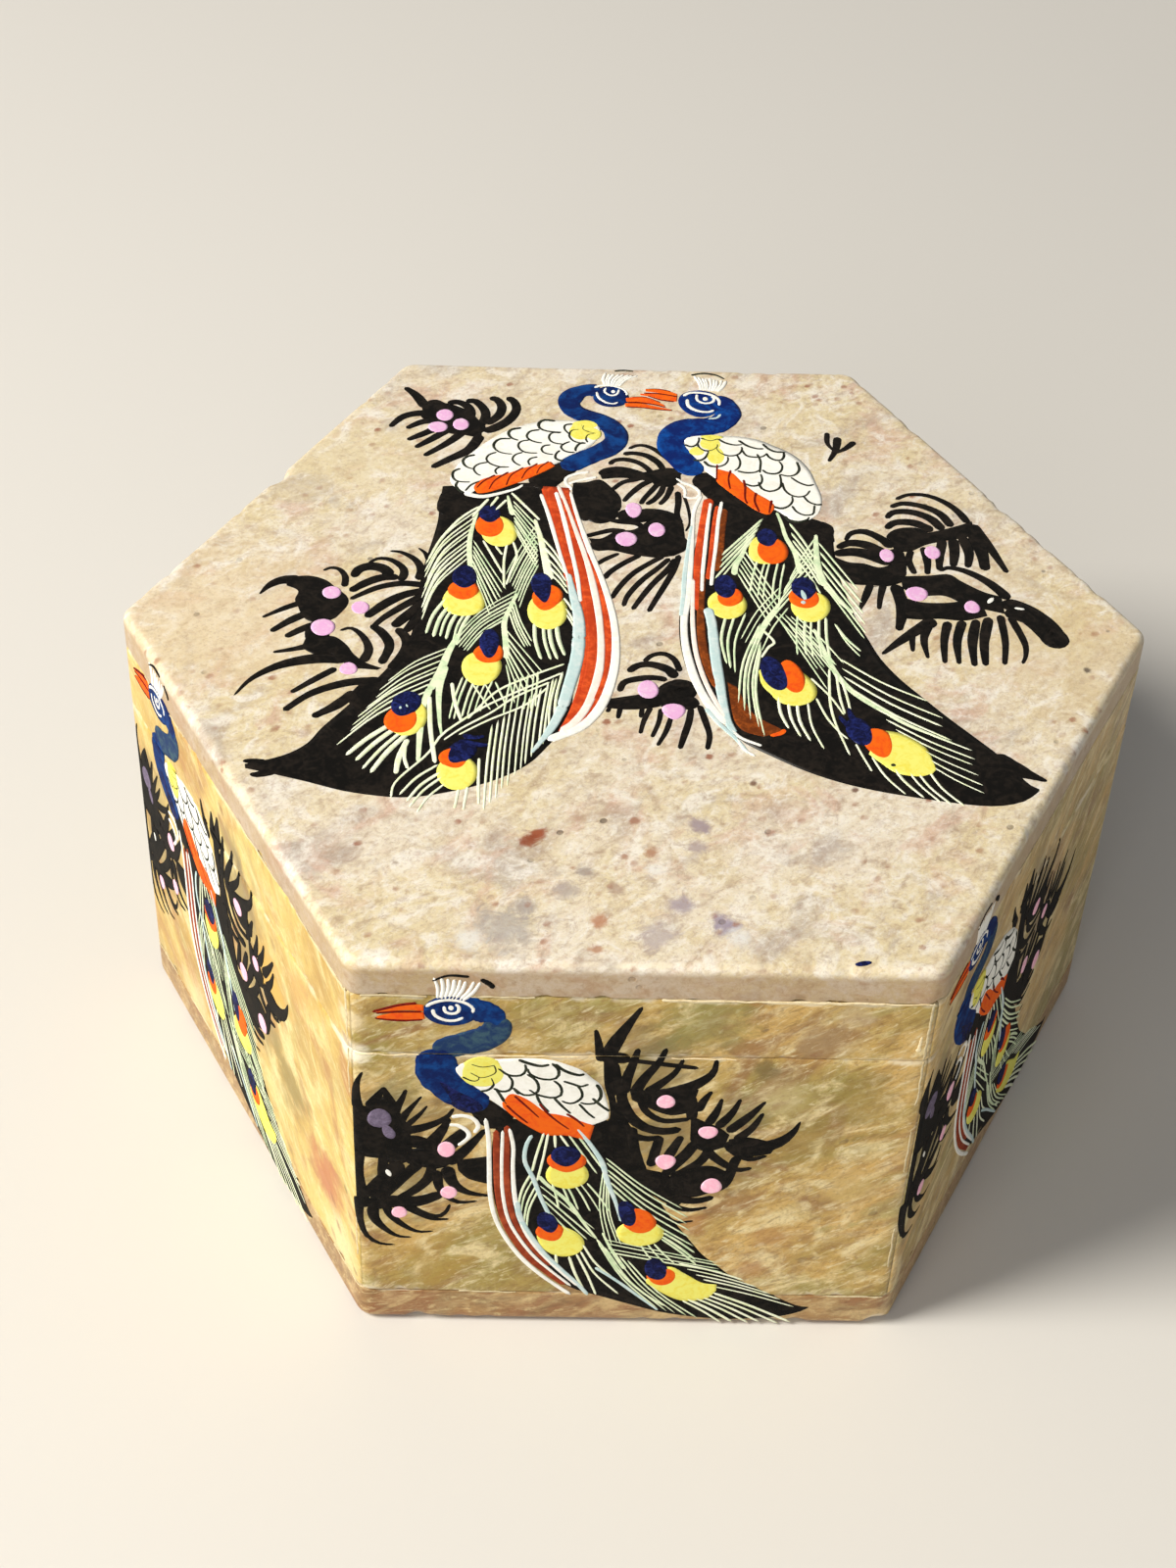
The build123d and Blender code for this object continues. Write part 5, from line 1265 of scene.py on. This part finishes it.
def paintSideLeaves(art, front):
    art.load = 1.12 if front else 1.26
    # the spray in front of the breast
    art.fill("black", 0.042,
        (-26.1, 33.2, -24.6, 32.4, -23.2, 33.8, -22, 32.4, -21.5, 31, -20.8, 29.4, -21.2, 28),
        (-26.1, 25.6, -24.6, 25.2, -23.6, 25, -22.4, 24.2, -21.2, 24.6, -20.6, 25.6, -21.3, 26.8),
        (-26.1, 26, -26.1, 22, -26.1, 17.4), (-25, 26, -25.2, 22.6, -24.6, 18),
        (-16.6, 25, -15.2, 25.2, -13.4, 25.6), (-16.4, 23.4, -15.4, 22.2, -13.4, 21.4))
    art.strokes("black", 0.045, (0.2, 1.1), (-25, 37.1, -25.5, 35.7, -25.7, 34, -25.6, 31.6),
        (0.2, 1.4), (-23.1, 35.1, -23.7, 33.8, -24.4, 32),
        (0.2, 1.3), (-23.1, 35.1, -22.8, 33.8, -22.3, 31.8),
        (0.3, 0.9), (-21.1, 34.8, -21.5, 33.5, -22, 32.2, -22.4, 30.6),
        (0.2, 0.8), (-19.7, 33.9, -20.5, 32.6, -21.3, 31.2, -21.8, 29.8),
        (0.2, 0.7), (-19.2, 32.6, -19.9, 31.4, -20.8, 30.2, -21.5, 29.2),
        (0.25, 1.1), (-16.8, 32.3, -17.4, 31.1, -18.6, 30.1, -20, 29.4, -21.5, 29),
        (0.5, 1.3), (-17.2, 30.9, -17.8, 29.4, -18.5, 28, -19.3, 26.4),
        (1, 1.4), (-15.5, 29.4, -16.4, 28.2, -17.4, 26.9, -18.8, 25.4),
        (0.5, 1.2), (-13.9, 29.4, -15.1, 27.4, -16.2, 25.8, -17.5, 24.4),
        (1.3, 1.3), (-21.6, 27.5, -20.2, 27.5, -18.8, 26.8),
        (2, 2.4), (-21.4, 24.9, -19.8, 25.3, -18.4, 25, -17.2, 24.4),
        (0.7, 0.7), (-23.4, 26, -23.4, 24.4, -23.6, 22.4),
        (1.5, 1.7), (-21.8, 24.6, -22.7, 22.8, -23.8, 21, -24.8, 19.4),
        (1, 1), (-19.9, 24.6, -21.2, 22.9, -22.6, 20.9, -24, 19),
        (0.9, 0.8), (-18.8, 24.4, -19.2, 22.3, -20.4, 20.6, -22.2, 19),
        (1.3, 0.3), (-17.5, 24, -16.9, 21.6, -15.5, 20.2, -13.4, 19.7),
        (0.9, 0.25), (-18.4, 23.4, -18.1, 20.7, -16.6, 18.8, -14.6, 18.9),
        (1.6, 1), (-25.2, 18.2, -22.6, 18.7, -20.2, 18.8, -17.9, 20),
        (0.8, 0.25), (-21.3, 18.2, -19.7, 16.9, -18.4, 16.5, -17.6, 17.2, -17.2, 18.4),
        (0.6, 0.25), (-21.5, 17.9, -20.2, 16.9, -18.9, 16.1, -17.3, 16.1),
        (0.9, 0.2), (-23.3, 18.2, -22.8, 16.6, -21.7, 15.1, -20.3, 14.1, -18.8, 14.2),
        (1, 0.2), (-24.5, 18, -24.4, 16.2, -23.6, 14.7, -22.3, 13.4, -20.9, 13.2),
        (1.1, 0.2), (-25.9, 19, -25.9, 15.8, -25.3, 13.5, -24, 12.2, -22.5, 12))
    # the spray behind the back
    art.fill("black", 0.042, (-3.4, 40, -3.2, 36, -2.7, 33.5, -2.6, 31, -4.1, 29.6, -3.6, 27.6, -2.2, 25.6,
        -0.8, 23.4, 0.8, 21.4, 2.8, 19.4, 4.2, 18.4), (-2.2, 40, -2.3, 36, -2.1, 34, -1.6, 31.4, -1.3, 29,
        -1.2, 27, -0.6, 25, 1.2, 24, 3, 23.4, 4.6, 21.6, 4.9, 19.4), rows=44)
    art.fill("black", 0.042, (-0.9, 35.4, 1.4, 35.1, 3.4, 35.3, 5.4, 35.4),
        (-0.6, 33.8, 1, 32.7, 3, 31.8, 4.8, 32.2), (4.9, 31.8, 6.2, 31, 7.6, 30.2, 8.6, 29.2),
        (5, 28.4, 5.6, 27.2, 6.8, 26.8, 8.2, 27.4), (8.6, 28.6, 10.4, 28.9, 12.2, 28.4, 13.2, 28.2),
        (8.4, 27, 9.6, 26, 11.2, 26.2, 12.6, 26.6), (3.4, 23.6, 5.4, 24.4, 7.2, 24.7, 8.6, 24),
        (3.8, 20.4, 5.6, 20, 7.4, 20.8, 8.8, 22))
    if front:
        art.strokes("black", 0.045, (0.3, 0.9), (-4.2, 43.2, -3.9, 41.4, -3.6, 39),
            (0.3, 1.4), (-0.2, 46.3, -1.2, 44.2, -2.2, 42, -3.1, 39.6),
            (1.2, 1), (-3.8, 39.8, -2.4, 39.5, -1, 39.3), (0.5, 0.4), (-1.9, 39.3, 1, 38.9, 5.2, 38.3))
    else:
        art.strokes("black", 0.045, (0.3, 1.2), (-6.2, 41.2, -5.8, 39.6, -4.6, 37.2),
            (0.3, 1.5), (-3.2, 41.8, -3.2, 40, -3.2, 38), (0.4, 1.8), (-1.5, 42.3, -1.8, 40.4, -2.2, 38))
    art.strokes("black", 0.045, (0.4, 1), (-0.3, 40.8, -0.7, 38.8, -1.2, 36.6, -1.4, 34.6),
        (2.2, 40.9, 1.6, 39, 0.4, 36.8, -0.4, 34.8), (0.3, 0.9), (3.8, 39.5, 3.1, 37.6, 1.8, 36, 0.6, 34.8),
        (0.3, 1.6), (6.8, 39.5, 6.5, 37.6, 5, 36, 3, 34.8, 1.4, 34.4),
        (1.1, 1.2), (-2.6, 39, -2.4, 36.6, -2.2, 34.4),
        (0.9, 0.8), (-1.5, 35.8, -1.5, 33.8, -0.6, 31.4, 0.9, 29.9, 2.6, 29.5, 4.1, 29.9),
        (0.6, 0.5), (0.1, 34, 0.8, 32.2, 2.4, 31, 4.8, 31.3),
        (0.8, 0.6), (-2, 33.4, -1.4, 31, -0.4, 29, 1, 28.4, 2.4, 28.7),
        (0.3, 0.9), (6.6, 35.2, 6, 34, 5.4, 32.4), (0.9, 0.9), (4.6, 34.6, 4.9, 33, 5, 31.2),
        (0.3, 0.9), (7.6, 34.2, 7.2, 32.4, 6.5, 30.6), (9.3, 34.2, 8.6, 32.2, 7.4, 30.2),
        (0.3, 1), (11.6, 33.9, 10.2, 31.8, 8.4, 29.6), (0.3, 0.9), (11.5, 32.3, 10.6, 30.2, 9.2, 28.4),
        (0.2, 2), (15, 31.2, 14.4, 29.6, 13.2, 28.2, 11.4, 27.5, 9, 27.8),
        (1, 0.3), (8.4, 28.2, 9.2, 26.9, 10.7, 25.8, 12.3, 26.3),
        (0.9, 0.4), (6.4, 27.4, 7.2, 26.2, 8.4, 25, 9.7, 24.2, 11, 24.5),
        (0.8, 0.8), (9.6, 26.2, 9.2, 24.8, 9, 23.4, 8.6, 22, 7.8, 21.2),
        (0.7, 0.9), (2.2, 28.8, 1.9, 26.8, 1.5, 24.4), (0.6, 0.9), (4.2, 28.9, 3.5, 27, 2.8, 25),
        (0.9, 0.9), (5.6, 28.2, 4.8, 26.4, 3.8, 24.8, 2.8, 23),
        (0.8, 0.8), (7, 27.4, 6.2, 25.4, 5, 24, 3.6, 22.8),
        (0.8, 1), (-0.4, 30, -0.2, 27.6, 0.2, 25.4, 0.8, 23.4),
        (1.2, 1.2), (-1.6, 31, -1.4, 28, -0.8, 25.8, 0.6, 23.4, 2.4, 22, 4, 21),
        (1.2, 0.6), (2.5, 20.8, 4.6, 19.7, 6.2, 19.5, 7.7, 20.1),
        (0.7, 0.3), (3.3, 18.9, 5.4, 18.1, 7.2, 18.5), (0.4, 0.2), (3.2, 17.2, 4.4, 16.2, 6, 16.4))
    art.load = 1.0
    art.blobs("rose", 0.085, (-17.5, 26.5, 0.85, 1.1), (-17.3, 20.2, 0.75, 0.9), (-22, 17.1, 0.8, 0.85),
        (2.5, 33.7, 0.9, 0.9), (6.6, 29.5, 0.85, 0.85), (2.9, 25.1, 1, 1.05), (7.4, 21.8, 0.95, 1.1))
    art.blobs("lilac", 0.085, (-23.6, 30.8, 1.25, 1.3), (-22.8, 28.9, 0.5, 1, 20))
    art.blobs("white", 0.09, (-22.9, 23, 0.25, 0.5, 20))


# Glue lines: thin pale beads along the joints of the strips, in broken stretches of uneven width
glueStretch = 4.5  # about how long one stretch is, in millimetres


def glueLine(art, first, last, at, upright, width, share, paint="filler"):
    # share is how much of the way from first to last has a bead
    ends = np.linspace(first, last, max(2, int(abs(last - first) / glueStretch)) + 1)
    for a, b in zip(ends[:-1], ends[1:]):
        if art.rng.random() > share:
            continue
        way = np.linspace(a - 0.12 * (b - a), b + 0.12 * (b - a), 7)
        drift = at + 0.05 * art.rng.standard_normal(7)
        knots = np.stack([drift, way] if upright else [way, drift], 1).ravel()
        art.strokes(paint, 0.04, width * art.rng.uniform(0.6, 1.4, 2), knots, across=5)


def paintGlue(art, k):
    half, base, rimTop = halfSide[k], levels["baseTop"], levels["rimTop"]
    if sideNames[k] == "front":
        glueLine(art, -half + 1.5, 4.0, rimTop, False, 0.16, 0.45)
        glueLine(art, 2.0, half - 0.8, rimTop - 0.05, False, 0.24, 1.0, "chalk")
        glueLine(art, -half + 0.8, 8.0, levels["seam"] - 0.2, False, 0.09, 0.4, "chalk")
        art.strokes("chalk", 0.06, (0.5, 0.3), (24.6, 41, 24.8, 41.6), (0.3, 0.2), (24.7, 41.4, 24.8, 43))
    else:
        glueLine(art, -half + 1.5, half - 1.5, rimTop, False, 0.16, 0.6)
    glueLine(art, -half + 1.0, half - 1.0, base, False, 0.15, 0.35)
    glueLine(art, 40.3, 46.9, half - 0.55, True, 0.24, 0.9)
    glueLine(art, 5.4, 39.0, half - 0.5, True, 0.16, 0.5)


# Paint on the stone: the share of its written height, the fall to its rim, the rim's least height, and how
# deep its underside is sunk
paintSettings = {"lift": 0.62, "roll": 0.02, "rim": 0.006, "sunk": 0.05}


def onTop(x, y, height):
    # a place on the lid's top
    flat = np.stack([x, y, np.full(x.shape, levels["top"])], -1)
    flat[..., 2] += np.minimum(sanding(flat), sandingSettings["topLimit"]) + height
    return flat


def onSide(k):
    # places on side k: s runs along it from its middle, z is the height
    def carry(s, z, height):
        place, outward = outlineAt(middleOfSide[k] + s)
        flat = np.concatenate([place, z[..., None]], -1)
        flat[..., :2] += outward * (sanding(flat) + height)[..., None]
        return flat
    return carry


def markMesh(mark, carry, offset):
    # a closed plate: its top a dome of 1 - |2 * share - 1| to a power, its underside sunk below the stone
    colour, left, right, lift, square, across = mark
    x, y = np.vstack([left, right[::-1]]).T
    if np.sum(x * np.roll(y, -1) - y * np.roll(x, -1)) > 0:
        left, right = right, left
    share = np.linspace(0, 1, across)
    dome = 1 - np.abs(2 * share - 1) ** square
    lift = paintSettings["lift"] * lift
    rim = max(lift - paintSettings["roll"], paintSettings["rim"])
    height = np.append(rim + (lift - rim) * dome, np.full(across, -paintSettings["sunk"]))
    share = np.append(share, share[::-1])
    plan = left[:, None] * (1 - share[:, None]) + right[:, None] * share[:, None]
    points = carry(plan[..., 0], plan[..., 1], np.broadcast_to(height, plan.shape[:2])).reshape(-1, 3)
    rows, loop = len(left), 2 * across
    quads = gridFaces(rows, loop)
    caps = np.stack([np.arange(loop)[::-1], np.arange((rows - 1) * loop, rows * loop)])
    flat = np.append(np.tile(np.arange(loop) >= across - 1, rows - 1), [True, True])
    return points, quads + offset, caps + offset, flat


def cutAt(piece, level, keepAbove):
    # slices the mesh level with the seam and closes the cut
    shape = bmesh.new()
    shape.from_mesh(piece.data)
    bmesh.ops.bisect_plane(
        shape, geom=shape.verts[:] + shape.edges[:] + shape.faces[:], dist=1e-7,
        plane_co=(0, 0, level * mm), plane_no=(0, 0, 1), clear_inner=keepAbove, clear_outer=not keepAbove)
    bmesh.ops.holes_fill(shape, edges=[edge for edge in shape.edges if edge.is_boundary])
    shape.to_mesh(piece.data)
    shape.free()


def paintPiece(name, colour, marks, body, cut=None):
    # the marks of one colour as one mesh; each comes with the function that carries it onto the stone
    points, faces, flats, offset = [], [], [], 0
    for mark, carry in marks:
        where, quads, caps, flat = markMesh(mark, carry, offset)
        points.append(where)
        faces += [quads, caps]
        flats.append(flat)
        offset += len(where)
    slot = enamelSlots.get(colour, "enamel_" + colour)
    piece = makePiece(
        name, np.vstack(points), faces, [enamels[colour]], body, flat=np.concatenate(flats))
    if cut:
        cutAt(piece, *cut)


def byColour(marks):
    groups = {}
    for mark, carry in marks:
        groups.setdefault(mark[0], []).append((mark, carry))
    return groups.items()


lidPainting = Painting(1, 18)
paintTopLeaves(lidPainting)
paintLeftBird(lidPainting)
paintRightBird(lidPainting)
lidPainting.blobs("navy", 0.06, (18.8, -45.6, 0.75, 0.27, 12))  # a stray dab at the front edge
for colour, marks in byColour([(mark, onTop) for mark in lidPainting.marks]):
    paintPiece("top_painting_" + colour, colour, marks, "lid")
print("top painting made")

# Each side is painted by eye: a little shift in millimetres, turn in radians, and growth along and up about
# the middle. The two named sides have their own, and the others draw theirs from within the limits
sidePainting = {
    "middle": (-2.0, 25.0), "shift": 0.35, "turn": 0.012, "grow": (0.985, 1.01),
    "front": ((0.0, 0.0), 0.0, (1.0, 1.0)), "front_left": ((-1.85, 0.3), 0.0, (0.94, 1.02)),
}
# The paint is cut at the gap below and above the seam; a mark that passes the reach has a part there
seamCut = {"gap": 0.08, "reach": 0.15}


def paintSide(k):
    front = sideNames[k] == "front"
    art = Painting(20 + k, 14 if front else 12)
    paintSideLeaves(art, front)
    paintSideBird(art)
    look, rng = sidePainting, art.rng
    placing = (rng.uniform(-1, 1, 2) * look["shift"], rng.uniform(-look["turn"], look["turn"]),
               rng.uniform(*look["grow"]))
    shift, turn, grow = look.get(sideNames[k], placing)
    swing = np.multiply(grow, [[np.cos(turn), np.sin(turn)], [-np.sin(turn), np.cos(turn)]])
    glue = Painting(40 + k, 30)
    paintGlue(glue, k)
    marks = []
    for colour, left, right, *rest in art.marks:
        left, right = ((edge - look["middle"]) @ swing + look["middle"] + shift for edge in (left, right))
        marks.append((colour, left, right, *rest))
    return [(mark, onSide(k)) for mark in marks + glue.marks]


sideMarks = [mark for k in range(6) for mark in paintSide(k)]
seam, gap, reach = levels["seam"], seamCut["gap"], seamCut["reach"]
for colour, marks in byColour(sideMarks):
    heights = [np.concatenate([mark[1][:, 1], mark[2][:, 1]]) for mark, _ in marks]
    low = [mark for mark, z in zip(marks, heights) if z.min() < seam - reach]
    high = [mark for mark, z in zip(marks, heights) if z.max() > seam + reach]
    if low:
        paintPiece("side_painting_" + colour + "_body", colour, low, "body", (seam - gap, False))
    if high:
        paintPiece("side_painting_" + colour + "_lid", colour, high, "lid", (seam + gap, True))
print("side painting made")


# Floor, lamps and world
stageSettings = {
    "floor": "dbd8d3", "floorSize": 3.0, "floorRough": 0.6, "floorShine": 0.2,
    "lamps": (
        # name, place, size, watts, colour, all aimed at the box
        ("key", (-0.72, -0.22, 0.80), 0.40, 14.8, "fffaf0"),
        ("fill", (-0.42, -1.00, 0.50), 0.80, 4.6, "fffdfa"),
    ),
    "aim": (0.0, 0.0, 0.03), "world": "eef0f2", "worldStrength": 0.19,
    "backdrop": "e4ddd2", "fade": (0.20, 0.75),
}


def makeStage(look):
    size = look["floorSize"]
    floor = bpy.data.meshes.new("floor")
    floor.from_pydata(
        [(-size, -size, 0), (size, -size, 0), (size, size, 0), (-size, size, 0)], [], [(0, 1, 2, 3)])
    floor = bpy.data.objects.new("floor", floor)
    r = Recipe("floor")
    place = r.add("ShaderNodeTexCoord", out="Object")
    away = r.add("ShaderNodeVectorMath", {"operation": "LENGTH"}, {0: place}, out="Value")
    paper = r.add("ShaderNodeBsdfPrincipled", None, {
        "Base Color": tint(look["floor"]), "Roughness": look["floorRough"],
        "Specular IOR Level": look["floorShine"]})
    plain = tint(look["backdrop"])
    floor.data.materials.append(r.finish(r.backdrop(paper, away.band(*look["fade"]), plain)))
    bpy.context.scene.collection.objects.link(floor)
    for name, place, size, watts, shade in look["lamps"]:
        lamp = bpy.data.lights.new(name, "AREA")
        lamp.shape, lamp.size, lamp.energy, lamp.color = "DISK", size, watts, tint(shade)
        lamp = bpy.data.objects.new(name, lamp)
        back = np.array(place) - np.array(look["aim"])
        back /= np.linalg.norm(back)
        side = np.cross((0, 0, 1), back)
        side /= np.linalg.norm(side)
        lamp.matrix_world = turnedTo(side, np.cross(back, side), back, place)
        bpy.context.scene.collection.objects.link(lamp)
    world = bpy.data.worlds.new("studio")
    r = Recipe("studio", world)
    sky = r.add("ShaderNodeBackground", None, {
        "Color": tint(look["world"]), "Strength": look["worldStrength"]})
    r.add("ShaderNodeOutputWorld", None, {"Surface": r.backdrop(sky, 1.0, plain)})
    bpy.context.scene.world = world
    bpy.context.scene.view_settings.view_transform = "Standard"


makeStage(stageSettings)
print("stage set")
